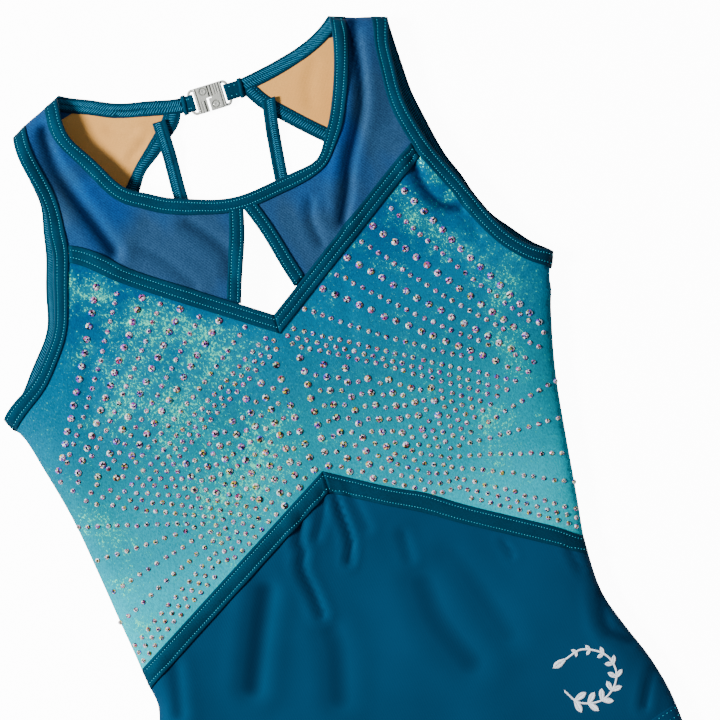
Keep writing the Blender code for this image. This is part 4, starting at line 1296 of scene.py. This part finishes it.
def patches(blobs, x, y):
    """Sum of soft round spots, each with its centre, reach and strength."""
    total = np.zeros_like(x)
    for (at_x, at_y), reach, strength in blobs:
        total += strength * np.exp(-((x - at_x) ** 2 + (y - at_y) ** 2) / reach ** 2)
    return total


def paint_patches(made, blobs):
    data = made.data
    spots = np.zeros(len(data.vertices) * 3, np.float32)
    data.vertices.foreach_get("co", spots)
    spots = spots.reshape(-1, 3) / MM
    set_value(made, "patch", patches(blobs, spots[:, 0], spots[:, 1] - UNDERARM_Y))


def make_yoke(layer, side, cloth, lining, height, looks, bent):
    """A yoke of mesh and its lining, which lies on the garment's inner side."""
    name = layer + "_yoke_" + side
    lining_name = layer + "_yoke_lining_" + side
    rise = -LINING_RISE if height is front else LINING_RISE
    made = sheet(name + "_cloth", cloth, height, 0.0, MESH, looks["yoke"])
    # The patch value paints highlight on the yoke's ridges and shade in its folds.
    paint_patches(made, YOKE_TONE_AND_LIGHT)
    wear(made, "yoke_mesh", name, bent=bent)
    lined = sheet(lining_name + "_cloth", lining, height, rise, LINING, looks["nude"])
    wear(lined, "nude_lining", lining_name, bent=bent)
    declare(cloth)
    declare(lining)


def make_front_yokes(neck, armhole, keyhole, looks):
    cloth = front_yoke_outline(neck, armhole, keyhole)
    lining = front_lining_outline(neck, armhole, keyhole)
    for side, flip in SIDES:
        make_yoke("front", side, flip(cloth), flip(lining), front, looks, False)


def make_back_yoke(side, flip, neck, armhole, diagonal, looks):
    cloth = flip(back_yoke_outline(neck, armhole, diagonal))
    lining = flip(back_lining_outline(neck, armhole, diagonal))
    make_yoke("back", side, cloth, lining, back, looks, side == "left")


def make_body_panels(front_arm, back_arm, front_leg, back_leg, looks):
    chest = CHEST_TOP - STRIP_DROP / 2 - GAP
    back_top = BACK_V_TOP - EDGE_INSET * math.sqrt(1 + BACK_V_SLOPE ** 2)
    front_bodice = bodice_outline(chest, CHEST_SLOPE, front_arm)
    back_bodice = bodice_outline(back_top, BACK_V_SLOPE, back_arm)
    for name, outline, height, kind, spacing in (
            ("front_bodice", front_bodice, front, "bodice", GRID),
            ("back_bodice", back_bodice, back, "bodice", BACK_GRID),
            ("front_brief", brief_outline(front_leg), front, "brief", GRID),
            ("back_brief", brief_outline(back_leg), back, "brief", BACK_GRID)):
        made = sheet(name + "_cloth", outline, height, 0.0, CLOTH, looks[kind], spacing)
        if kind == "bodice":
            # The patch value sets where foil flecks crowd and where glint and sheen are painted on the
            # bodice.
            paint_patches(made, FOIL_DENSITY_AND_GLINT_PATCHES)
        wear(made, "bodice_foil" if kind == "bodice" else "brief_cloth", name)
        declare(outline)
    gusset = gusset_outline(front_leg)
    made = sheet("gusset_lining_cloth", gusset, front, -GUSSET_RISE, LINING, looks["nude"],
                 LINING_GRID)
    wear(made, "nude_lining", "gusset_lining")
    declare(gusset)


# ---------------------------------------------------------------- bindings, strips, straps, hems

# A strip's stitch rows, as parts of its width, and its lower and upper side off the layer
CHEST_ROWS = (0.28, 0.70)
WAIST_ROWS = (0.2, 0.8)
FRONT_STRIP = (CLOTH / 2 + 0.12, 1.55)
BACK_STRIP = (0.42, 1.2)


def outer_side(half, rows, groove, sink=0.16):
    """Profile of a band's top from its free edge inwards, with a groove under each stitch row."""
    knots = [(0.0, 0.25 * half), (0.012, 0.6 * half), (0.04, 0.86 * half), (0.09, 0.97 * half)]
    for row in rows:
        knots += [(row - groove, half), (row, half - sink), (row + groove, half)]
    knots += [(0.93, 0.96 * half), (0.975, 0.88 * half), (1.0, 0.72 * half)]
    return sorted(knots)


def binding_profile(rows=(0.25, 0.75)):
    """Cloth folded round an edge, with a slot for the panels."""
    top = outer_side(BINDING_HALF, rows, 0.045)
    slot = [(1.0, SLOT), (0.14, SLOT), (0.14, -SLOT), (1.0, -SLOT)]
    return top + slot + flipped(top)


def strip_profile(low, high, rows):
    """Flat strip whose top has a groove under each stitch row, for the outer face of a seam."""
    top = outer_side(high - low, rows, 0.035, 0.2)
    return [(part, low + rise) for part, rise in top] + [(1.0, low), (0.0, low)]


def flipped(profile):
    """A profile's mirror image on the other side of its layer."""
    return [(part, -rise) for part, rise in reversed(profile)]


# Looper threads on an inner side: the parts of the width each row runs between, and its lean
NECK_ROWS = [(0.14, 0.52, 2.0), (0.48, 0.86, 2.0)]
DIAGONAL_ROWS = [(0.26, 0.72, 0.9)]
STRAP_ROWS = [(0.18, 0.4, 1.0), (0.38, 0.6, -1.0)]


def make_binding(node_name, stations, height, looks, bent=False, inner=None):
    """A folded binding with two stitch rows outside, or with the coverstitch's inner side."""
    rows = (0.12, 0.88) if inner else (0.25, 0.75)
    made = sweep(node_name + "_folded", stations, binding_profile(rows), height, looks["binding"])
    wear(made, "binding_cloth", node_name, bent=bent)
    name = node_name + "_stitches"
    if inner:
        dots = 0.82 if inner is DIAGONAL_ROWS else None
        thread = cover_stitch(name, stations, inner, BINDING_HALF + 0.02, height,
                              looks["thread_inner"], dots=dots)
    else:
        thread = stitches(name, stations, rows, BINDING_HALF - 0.04, height, looks["thread"])
    wear(thread, "stitch_thread", bent=bent)


def make_strips(chest, waist, looks):
    """Flat strips sewn over the chest seam and, front and back, over the waist seam."""
    low, high = FRONT_STRIP
    for side, flip in SIDES:
        for node_name, stations, height, rows in (
                ("chest_binding_" + side, chest, front, CHEST_ROWS),
                ("waist_binding_front_" + side, waist, front, WAIST_ROWS),
                ("waist_binding_back_" + side, waist, back, WAIST_ROWS)):
            shape = strip_profile(low, high, rows)
            if height is back:
                shape = flipped(strip_profile(*BACK_STRIP, rows))
            made = sweep(node_name + "_sewn", flip(stations), shape, height, looks["binding"])
            wear(made, "binding_cloth", node_name)
            if height is front:
                thread = stitches(node_name + "_stitches", flip(stations), rows,
                                  high - 0.1, height, looks["thread"])
                wear(thread, "stitch_thread")


def height_along(spots, heights):
    """Height of a piece that climbs along y, from its middle's height at each spot."""
    places = [spot.y for spot in spots]

    def height(x, y):
        return np.interp(y, places, heights)
    height.still = True
    return height


def make_straps(looks):
    """Narrow folded straps from the back bodice's edge to the inside of the diagonal bindings."""
    half = Vector((STRAP_WIDTH / 2, 0))
    top = outer_side(STRAP_HALF, (0.3, 0.7), 0.04, 0.1)
    profile = top + flipped(top)
    for side, points, slope in (("left", LEFT_STRAP, -BACK_V_SLOPE),
                                ("right", RIGHT_STRAP, BACK_V_SLOPE)):
        spots = [Vector(point) for point in points]
        height = height_along(spots, STRAP_HEIGHTS)
        path = curve(points, 1.6)
        stations = []
        for spot in path:
            lean = slope * max(0.0, 1 - (spot.y - path[0].y) / TURN)
            across = half + Vector((0, half.x * lean))
            stations.append((spot - across, across * 2))
        bent = side == "left"
        node_name = "back_strap_" + side
        made = sweep(node_name + "_folded", stations, profile, height, looks["binding"])
        wear(made, "binding_cloth", node_name, bent=bent)
        shift = 0.0 if side == "left" else 0.2
        rows = [(low + shift, high + shift, lean) for low, high, lean in STRAP_ROWS]
        thread = cover_stitch(node_name + "_stitches", stations, rows, STRAP_HALF + 0.05,
                              height, looks["thread_inner"], 1.15)
        wear(thread, "stitch_thread", bent=bent)


def hem_profile(inward):
    """Hem folded round a panel's edge; the elastic's side of the slot is the deeper one."""
    shallow = [(0.0, 0.2), (0.01, 0.5), (0.03, 0.66), (0.07, 0.72), (0.5, 0.76), (0.9, 0.72),
               (0.97, 0.62), (1.0, 0.5)]
    slot = [(1.0, 0.42), (0.09, 0.42), (0.09, -1.5), (1.0, -1.5)]
    deep = [(1.0, -1.6), (0.97, -1.78), (0.9, -1.85), (0.1, -1.8), (0.03, -1.3), (0.0, -0.6)]
    profile = shallow + slot + deep
    return profile if inward < 0 else flipped(profile)


def make_leg(name, stations, height, inward, looks):
    """Leg hem, its two stitch rows, and the elastic inside it (inward is 1 or -1)."""
    node_name = "leg_hem_" + name
    made = sweep(node_name + "_folded", stations, hem_profile(inward), height, looks["brief"])
    wear(made, "brief_cloth", node_name)
    if inward < 0:
        thread = stitches(node_name + "_stitches", stations, (0.4, 0.82), 0.78, height,
                          looks["thread"], pitch=2.5)
    else:
        thread = cover_stitch(node_name + "_stitches", stations, [(0.4, 0.82, 1.5)], 1.9, height,
                              looks["thread_inner"], 1.6)
    wear(thread, "stitch_thread")
    low, high = sorted((0.62 * inward, 1.32 * inward))
    shape = [(0.14, low), (0.88, low), (0.9, (low + high) / 2), (0.88, high), (0.14, high),
             (0.12, (low + high) / 2)]
    elastic = sweep("leg_elastic_" + name + "_band", stations, shape, height, looks["elastic"])
    wear(elastic, "elastic", "leg_elastic_" + name)


SEAM_INSET = 1.2              # from the side fold in to the seam bundle
SEAM_WIDTH = 4.6
SEAM_STEP = 3.0


def make_seams(looks):
    """Overlocked seam allowances between the layers, along the sides, shoulders and crotch."""
    middle = (FRONT_FOLD + BACK_FOLD) / 2

    def level(x, y):
        return np.full_like(x, middle)

    side_points = [(151.5, -7)] + [point for point in SIDE_SEAM if -252 < point[1] < -10]
    side_points.append((148.1, -252.5))
    inner = [(x - SEAM_INSET, y) for x, y in side_points]
    side = band(inner, SEAM_WIDTH, step=SEAM_STEP)
    shoulder = between([(86, 160.4), (96, 156.6)], [(85, 155.8), (95, 152)], SEAM_STEP)
    crotch = between([(-23, CROTCH_Y + 6), (23, CROTCH_Y + 6)],
                     [(-23, CROTCH_Y + 1), (23, CROTCH_Y + 1)])
    profile = [(0, -0.7), (0.5, -0.9), (1, -0.6), (1.05, 0), (1, 0.6), (0.5, 0.9), (0, 0.7),
               (-0.05, 0)]
    bundles = [("side_seam_right", side), ("side_seam_left", mirror(side)),
               ("shoulder_seam_right", shoulder), ("shoulder_seam_left", mirror(shoulder)),
               ("crotch_seam", crotch)]
    for node_name, stations in bundles:
        made = sweep(node_name + "_overlocked", stations, profile, level, looks["binding"])
        wear(made, "binding_cloth", node_name)
        points, faces = joined([zigzag(stations, 0.05, 0.95, 2.6, 0.95, level, phase)
                                for phase in (0, 1)])
        thread = piece(node_name + "_threads", points, faces, looks["thread_inner"], turn=False)
        wear(thread, "stitch_thread")


# ---------------------------------------------------------------- clasp and its tabs

def make_tabs(looks):
    """Cloth loops round the clasp's two bars, with a raised fold where they join the bands."""
    centre_x, centre_y = CLASP_CENTRE
    for side, name, end in ((-1, "left", TAB_END_LEFT), (1, "right", TAB_END_RIGHT)):
        start = centre_x + side * (SLOT_OUTER - 0.4)
        stop = centre_x + side * (end + 0.1)
        stations = []
        for part in range(11):
            x = start + (stop - start) * part / 10
            stations.append((Vector((x, centre_y - TAB_HALF)), Vector((0, 2 * TAB_HALF))))

        def level(x, y):
            return np.full_like(x, CLASP_MIDDLE)
        level.still = True

        arch = [(0.0, 0.5), (0.02, 1.0), (0.07, 1.4), (0.2, 1.6), (0.5, 1.68), (0.8, 1.6),
                (0.93, 1.4), (0.98, 1.0), (1.0, 0.5)]
        made = sweep("clasp_tab_" + name + "_cloth", stations, arch + flipped(arch), level,
                     looks["binding"])
        body = "clasp_left" if side < 0 else "garment"
        wear(made, "binding_cloth", "clasp_tab_" + name, body=body)
        make_tab_folds(name, side, stop, body, looks)
        thread = stitches("clasp_tab_" + name + "_tacks", stations[2:-3], (0.22, 0.78), 1.66, level,
                          looks["thread"], 2.0)
        wear(thread, "stitch_thread", body=body)


def make_tab_folds(name, side, stop, body, looks):
    """A rolled fold across the band where a tab is sewn to it."""
    x = stop - side * 1.3
    y = np.linspace(-TAB_HALF - 0.6, TAB_HALF + 0.6, 14)
    bow = np.cos(y / (TAB_HALF + 1.2) * math.pi / 2)
    points = np.stack((x + 0.3 * np.sin(y * 0.5), CLASP_CENTRE[1] + y, 2.3 + 0.9 * bow), -1)
    normals = np.tile((0.0, 0.0, 1.0), (len(y), 1))
    around, faces = tube(points, normals, 1.45, 12)
    made = piece("clasp_tab_" + name + "_fold", around, faces, looks["binding"], turn=False)
    wear(made, "binding_cloth", body=body)


def relief(filled, top, low, ticks):
    """Points and faces of a moulded block: a relief over the filled cells of a grid, flat below."""
    x, y = np.meshgrid(ticks, ticks, indexing="ij")
    count = len(ticks)
    size = count * count
    points = np.stack((x, y, top), -1).reshape(-1, 3)
    points = np.concatenate((points, points * (1, 1, 0) + (0, 0, low)))
    ringed = np.pad(filled, 1)
    faces = []
    for i, j in zip(*np.nonzero(filled)):
        corners = (i * count + j, (i + 1) * count + j, (i + 1) * count + j + 1, i * count + j + 1)
        faces.append(corners)
        faces.append(tuple(corner + size for corner in reversed(corners)))
        beside = (ringed[i + 1, j], ringed[i + 2, j + 1], ringed[i + 1, j + 2], ringed[i, j + 1])
        for edge in range(4):
            if not beside[edge]:
                first, second = corners[edge], corners[(edge + 1) % 4]
                faces.append((first + size, second + size, second, first))
    used, places = np.unique(np.concatenate(faces), return_inverse=True)
    ends = np.cumsum([len(face) for face in faces])[:-1]
    return points[used], [tuple(map(int, face)) for face in np.split(places, ends)]


# Upright grooves of the clasp: x, half width, depth, and the y they run between
CLASP_GROOVES = [(-6.5, 0.3, 0.7, -6.6, 6.6), (6.6, 0.3, 0.7, -6.6, 6.6), (0.2, 0.35, 1.0, 0.6, 9),
                 (1.9, 0.35, 0.9, 0.6, 9), (3.7, 0.25, 0.6, 0.9, 9), (5.1, 0.25, 0.6, 0.9, 9),
                 (-3.1, 0.4, 0.9, -9, -0.9), (-4.8, 0.3, 0.4, -9, -0.9)]
CLASP_FACE, CLASP_UNDERSIDE, CLASP_MIDDLE = 4.15, 0.5, 2.15
CLASP_REACH = 8.1             # half the side of the square grid that the plates are cut from
CLASP_TICKS = 61


def clasp_relief(x, y):
    """Height of the clasp's face and how deep its grooves are, about its centre."""
    grooves = np.zeros_like(x)
    edges = np.zeros_like(x)
    for at, width, depth, low, high in CLASP_GROOVES:
        grooves += depth * np.exp(-((x - at) / width) ** 2) * ((y > low) & (y < high))
    for at_x, at_y in ((-2.6, 4.2), (2.6, -4.3)):
        away = np.hypot(x - at_x, y - at_y)
        grooves += 0.6 * np.exp(-((away - 1.9) / 0.3) ** 2) + 0.35 * np.exp(-(away / 0.7) ** 2)
    for part, start, reach in ((np.abs(x), 7.3, 0.8), (np.abs(y), 6.7, 0.7)):
        edges += 1.1 * (np.clip(part - start, 0, None) / reach) ** 2
    return CLASP_FACE - grooves - edges, grooves


def dress_clasp(looks):
    """The two moulded halves: each a plate with grooves, and a rounded bar its tab loops over."""
    ticks = np.linspace(-CLASP_REACH, CLASP_REACH, CLASP_TICKS)
    x, y = np.meshgrid(ticks, ticks, indexing="ij")
    top, grooves = clasp_relief(x, y)
    cell = (ticks[:-1] + ticks[1:]) / 2
    across, along = np.meshgrid(cell, cell, indexing="ij")
    corner = [np.clip(np.abs(across) - 6.9, 0, None), np.clip(np.abs(along) - 6.2, 0, None)]
    whole = np.hypot(*corner) < 1.2
    left = whole & np.where(along > 0.2, across < 0.95, across < -2.0)
    right = whole & np.where(along > -0.15, across > 1.2, across > -0.8)
    arc = [(7.4, 6.3), (9.0, 6.6), (10.2, 6.0), (10.9, 4.8), (11.05, 3.0)]
    for side, name, filled, body in ((-1, "left", left, "clasp_left"), (1, "right", right, "garment")):
        plate, plate_faces = relief(filled, top, CLASP_UNDERSIDE, ticks)
        path = arc + [(a, -b) for a, b in reversed(arc)]
        loop = np.array([(side * point.x, point.y, CLASP_MIDDLE) for point in curve(path, 0.8)])
        normals = np.tile((0.0, 0.0, 1.0), (len(loop), 1))
        bar, bar_faces = tube(loop, normals, 0.8, 10)
        points, faces = joined([(plate, plate_faces), (bar, bar_faces)])
        # The grooves' depth becomes the valley attribute, from which the clasp's look paints shade
        # into its grooves.
        deep = np.zeros(len(points))
        deep[:len(plate)] = np.where(plate[:, 2] > 0.6, clasp_relief(plate[:, 0], plate[:, 1])[1], 0)
        points = points + (*CLASP_CENTRE, 0)
        made = piece("clasp_half_" + name + "_moulded", points, faces, looks["clasp"], smooth=False,
                     turn=False)
        set_value(made, "valley", deep)
        wear(made, "clasp_plastic", "clasp_half_" + name, body=body)


# ---------------------------------------------------------------- stones

TABLE_RADIUS, TABLE_HEIGHT = 0.52, 0.62


def stone():
    """Glass stone of unit radius: table in eight parts, faceted crown, girdle and base."""
    points = [(0, 0, TABLE_HEIGHT)]
    for side in range(8):
        angle = math.pi / 4 * side
        points.append((TABLE_RADIUS * math.cos(angle), TABLE_RADIUS * math.sin(angle),
                       TABLE_HEIGHT))
    for level in (0.2, 0.0):
        for side in range(8):
            angle = math.pi / 4 * (side + 0.5)
            points.append((math.cos(angle), math.sin(angle), level))
    faces = []
    for side in range(8):
        after = (side + 1) % 8
        faces.append((0, 1 + side, 1 + after))
        faces.append((1 + side, 9 + side, 1 + after))
        faces.append((1 + after, 9 + side, 9 + after))
        faces.append((9 + side, 17 + side, 17 + after, 9 + after))
    faces.append(tuple(reversed(range(17, 25))))
    return np.array(points, float), faces


def stone_spots():
    """Places and radii of all the stones, the left half a mirror image of the right."""
    random = np.random.default_rng(11)
    rows = STONE_ROWS + STONE_COLUMNS
    for x, top in LOW_COLUMNS:
        foot = WAIST_TOP + WAIST_SLOPE * x + LOW_COLUMN_FOOT
        rows.append((SMALL, LOW_COLUMN_PITCH, [(x, top), (x, max(foot, LOWEST_STONE))]))
    spots = []
    for radius, pitch, path in rows:
        fine = as_array(curve(path, 1.0))
        count = 1 + round(lengths_along(fine)[-1] / pitch)
        places, _ = even_spots(fine, pitch, 0.0, count)
        for x, y in places:
            for side in (1, -1):
                shake = random.normal(0, 0.2, 2)
                spots.append((side * x + shake[0], y + shake[1], radius))
    kept = spread_out(spots)
    x, y = pattern_spots(FRONT_TUGS, kept[:, 0], kept[:, 1])
    return np.stack((x, y, kept[:, 2]), -1)


def spread_out(spots):
    """Leave out a stone that would overlap one already placed."""
    kept = []
    for x, y, radius in spots:
        if all((x - a) ** 2 + (y - b) ** 2 > (radius + c + 0.4) ** 2 for a, b, c in kept):
            kept.append((x, y, radius))
    return np.array(kept)


# Facet colours: the coating's own pinks, violets, blues, golds and greens, with white standing for
# painted glints of the lamps and near-black for painted dark reflection.
FACET_COATING_AND_REFLECTION = np.array([(0.004, 0.004, 0.008), (0.02, 0.012, 0.015), (0.05, 0.035, 0.03),
                 (0.55, 0.05, 0.28), (0.75, 0.22, 0.50), (0.25, 0.07, 0.70), (0.05, 0.10, 0.85),
                 (1.0, 1.0, 1.0), (1.0, 0.85, 0.92), (0.80, 0.62, 0.05), (0.32, 0.42, 0.08),
                 (0.20, 0.60, 0.60), (0.45, 0.13, 0.05)])
COOL = np.array([3, 3, 2, 4, 4, 4, 3, 8, 5, 0.5, 0.5, 1.5, 1], float)
WARM = np.array([4, 4, 3, 2, 2, 1, 1, 8, 4, 4, 3, 2, 2], float)


def paint_stones(made, spots):
    """One colour for each facet, partly the coating's own colours and partly painted reflection: cool
    colours at the top sides, warm towards the middle and hem.
    """
    random = np.random.default_rng(23)
    faces = len(made.data.polygons) // len(spots)
    warmth = np.clip(0.55 - spots[:, 1] / 130 - np.abs(spots[:, 0]) / 260
                     + random.normal(0, 0.2, len(spots)), 0, 1)
    colours = []
    table = np.arange(faces) % 4 == 0
    for amount in warmth:
        chance = COOL / COOL.sum() * (1 - amount) + WARM / WARM.sum() * amount
        picked = random.choice(len(FACET_COATING_AND_REFLECTION), faces, p=chance)
        # About half the table facets are painted near-black: painted dark reflection in the middle of
        # each stone.
        dark = random.choice(2, faces) * (random.random(faces) < 0.8)
        picked[table] = np.where(random.random(faces) < 0.5, dark, picked)[table]
        colours.append(FACET_COATING_AND_REFLECTION[picked])
    colours = np.concatenate(colours)
    counts = np.zeros(len(made.data.polygons), np.int32)
    made.data.polygons.foreach_get("loop_total", counts)
    corners = np.repeat(colours, counts, axis=0)
    corners = np.concatenate((corners, np.ones((len(corners), 1))), 1)
    layer = made.data.color_attributes.new("facet", "FLOAT_COLOR", "CORNER")
    layer.data.foreach_set("color", corners.astype(np.float32).ravel())


def make_stones(looks):
    random = np.random.default_rng(7)
    everything = stone_spots()
    template, faces = stone()
    right = everything[:, 0] > 0
    for name, chosen in (("stones_right", right), ("stones_left", ~right)):
        spots = everything[chosen]
        base, normal = surface(front, spots)
        angle = random.uniform(0, 2 * math.pi, len(spots))
        ahead = np.stack((np.cos(angle), np.sin(angle), np.zeros_like(angle)), -1)
        tilted = normal + random.normal(0, 0.05, normal.shape)
        tilted /= np.linalg.norm(tilted, axis=-1, keepdims=True)
        centres = base + normal * (CLOTH / 2 + 0.02)
        sizes = np.repeat(spots[:, 2:3], 3, axis=1)
        made = scatter(name, template, faces, centres, frames(ahead, tilted), sizes, looks["stone"],
                       smooth=False)
        paint_stones(made, spots)
        wear(made, "rhinestone")


# ---------------------------------------------------------------- embroidery

def satin(base, tip, half, random):
    """Threads of one leaf, slanting out from its vein: middle, direction and half length."""
    axis = tip - base
    length = axis.length
    axis = axis.normalized()
    side = right_of(axis)
    threads = []
    count = int(length / SATIN_PITCH)
    for index in range(count + 1):
        part = index / count
        wide = half * math.sin(math.pi * min(1.0, 0.12 + 0.88 * part) ** 0.9) + 0.12
        for hand in (1, -1):
            start = base + axis * (part * length)
            end = start + side * (hand * wide) + axis * (wide * 0.8)
            reach = (end - start).length * random.uniform(0.52, 0.56)
            threads.append(((start + end) / 2, end - start, reach))
    return threads


def make_embroidery(looks):
    random = np.random.default_rng(31)
    stem = curve(WREATH_STEM, LEAF_SPACING)
    fine = curve(WREATH_STEM, 0.5)
    threads = []
    for before, after in zip(fine, fine[1:]):
        ahead = after - before
        threads.append(((before + after) / 2, ahead.normalized() + right_of(ahead) * 0.9, 0.85))
    leaves = [(stem[-1], (stem[-1] - stem[-2]).normalized(), LEAF_LENGTH, LEAF_HALF)]
    for index in range(1, len(stem) - 1):
        along = (stem[index + 1] - stem[index]).normalized()
        size = 1.0 - 0.07 * index
        for hand in (1, -1):
            angle = math.radians(-LEAF_TURN * hand)
            axis = Vector((along.x * math.cos(angle) - along.y * math.sin(angle),
                           along.x * math.sin(angle) + along.y * math.cos(angle)))
            leaves.append((stem[index], axis, LEAF_LENGTH * size, LEAF_HALF * size))
    for base, axis, length, half in leaves:
        threads += satin(base, base + axis * length, half, random)
    centres, directions, lengths = zip(*threads)
    spots = as_array(centres)
    ahead = np.array([(*tuple(direction), 0.0) for direction in directions])
    base, normal = surface(front, spots)
    sizes = np.stack((np.array(lengths), np.full(len(lengths), 0.27), np.full(len(lengths), 0.3)), -1)
    made = scatter("hip_embroidery_threads", CAPSULE, CAPSULE_FACES,
                   base + normal * (CLOTH / 2 + 0.22), frames(ahead, normal), sizes, looks["satin"])
    wear(made, "embroidery_thread", "hip_embroidery")


# ---------------------------------------------------------------- floor, light and camera

SEEN_WHITE = 12.0             # strength that shows as pure white
SKY_STRENGTH = 0.17
FLOOR_REACH = 6.0             # metres from the middle of the floor to its edges
FLOOR_DROP = 0.0004


def bright_to_camera(tree, lit):
    """Strength that shows as white, yet lights the garment no more than a pale floor would."""
    ray = node(tree, "ShaderNodeLightPath").outputs["Is Camera Ray"]
    return mapped(tree, ray, 0.0, 1.0, lit, SEEN_WHITE)


def make_floor():
    made, tree, shader = start_look("studio_floor", 0.9)
    fine = noise_of(tree, spots_in_space(tree), 30.0, 3.0)
    paint(tree, shader, mixed(tree, fine, (0.78, 0.78, 0.78), (0.82, 0.82, 0.82)))
    shader.inputs["Emission Color"].default_value = (1.0, 1.0, 1.0, 1.0)
    tree.links.new(bright_to_camera(tree, 0.0), shader.inputs["Emission Strength"])
    data = bpy.data.meshes.new("studio_floor")
    corners = [(x * FLOOR_REACH, y * FLOOR_REACH, 0) for x, y in ((-1, -1), (1, -1), (1, 1), (-1, 1))]
    data.from_pydata(corners, [], [(0, 1, 2, 3)])
    data.materials.append(made)
    floor = placed("studio_floor", data)
    floor.location.z = -FLOOR_DROP


CAMERA_TURN = math.radians(17.2)
VIEW_CENTRE = Vector((0.0379, 0.1102, 0.013))
FIELD = 0.396
LENS = 300.0
SENSOR = 36.0


def make_camera():
    camera = bpy.data.cameras.new("camera")
    camera.lens = LENS
    camera.sensor_width = SENSOR
    made = placed("camera", camera)
    made.location = VIEW_CENTRE + Vector((0, 0, FIELD * LENS / SENSOR))
    made.rotation_euler = (0, 0, -CAMERA_TURN)
    bpy.context.scene.camera = made


def area_light(name, place, size, power, colour=(1, 1, 1)):
    """A square light that looks at the middle of the garment; place is from there."""
    light = bpy.data.lights.new(name, "AREA")
    light.size = size
    light.energy = power
    light.color = colour
    made = placed(name, light)
    made.location = VIEW_CENTRE + Vector(place)
    made.rotation_euler = (-Vector(place)).to_track_quat("-Z", "Y").to_euler()


def make_light():
    area_light("key_light", (-1.7, 0.63, 1.52), 0.5, 138.0, (1.0, 0.99, 0.97))
    area_light("fill_light", (0.5, 0.6, 1.3), 1.2, 3.0, (0.85, 0.93, 1.0))
    world = bpy.data.worlds.new("studio")
    world.use_nodes = True
    bpy.context.scene.world = world
    sky = world.node_tree.nodes["Background"]
    sky.inputs["Color"].default_value = (0.72, 0.88, 1.15, 1.0)
    strength = bright_to_camera(world.node_tree, SKY_STRENGTH)
    world.node_tree.links.new(strength, sky.inputs["Strength"])


# ---------------------------------------------------------------- the whole

def make_looks():
    return {
        "binding": binding_look(),
        "brief": brief_look(),
        "yoke": yoke_look(),
        "bodice": bodice_look(),
        "nude": nude_look(),
        "elastic": elastic_look(),
        "thread": thread_look("stitch_thread", (0.024, 0.290, 0.410), (0.065, 0.450, 0.560)),
        "thread_inner": thread_look("looper_thread", (0.010, 0.120, 0.230), (0.035, 0.230, 0.360)),
        "satin": thread_look("satin_thread", (0.84, 0.89, 0.95), (0.95, 0.97, 1.0), 0.3, None),
        "stone": stone_look(),
        "clasp": clasp_look(),
    }


def main():
    looks = make_looks()
    neck = neck_front_stations()
    front_arm = armhole_stations(FRONT_ARMHOLE)
    back_arm = armhole_stations(BACK_ARMHOLE)
    front_leg = leg_stations(FRONT_LEG)
    back_leg = leg_stations(BACK_LEG)
    keyhole = keyhole_stations()
    drop = BINDING * math.sqrt(1 + BACK_V_SLOPE ** 2)
    back_v = strip_stations(BACK_V_TOP, drop, BACK_V_SLOPE, inset(back_arm, BINDING + GAP))
    chest = strip_stations(CHEST_TOP, STRIP_DROP, CHEST_SLOPE, inset(front_arm, BINDING + GAP))
    waist = strip_stations(WAIST_TOP, WAIST_DROP, WAIST_SLOPE, curve(SIDE_SEAM))

    make_front_yokes(neck, front_arm, keyhole, looks)
    make_body_panels(front_arm, back_arm, front_leg, back_leg, looks)
    make_binding("neck_binding_front", neck, front, looks)
    make_strips(chest, waist, looks)
    for side, flip, band_end, top in (("right", list, BAND_END_RIGHT, DIAGONAL_TOP_RIGHT),
                                      ("left", mirror, BAND_END_LEFT, DIAGONAL_TOP_LEFT)):
        bent = side == "left"
        back_neck = neck_back_stations(band_end)
        diagonal = diagonal_stations(top)
        make_back_yoke(side, flip, back_neck, back_arm, diagonal, looks)
        for name, stations, height, moves, rows in (
                ("neck_binding_back_", back_neck, back, bent, NECK_ROWS),
                ("back_yoke_binding_", diagonal, back, bent, DIAGONAL_ROWS),
                ("back_bodice_binding_", back_v, back, False, NECK_ROWS),
                ("armhole_binding_front_", front_arm, front, False, None),
                ("armhole_binding_back_", back_arm, back, False, NECK_ROWS),
                ("keyhole_binding_", keyhole, front, False, None)):
            make_binding(name + side, flip(stations), height, looks, moves, rows)
        make_leg("front_" + side, flip(front_leg), front, -1, looks)
        make_leg("back_" + side, flip(back_leg), back, 1, looks)
    make_straps(looks)
    make_seams(looks)
    make_tabs(looks)
    dress_clasp(looks)
    make_stones(looks)
    make_embroidery(looks)
    make_floor()
    make_light()
    make_camera()


main()
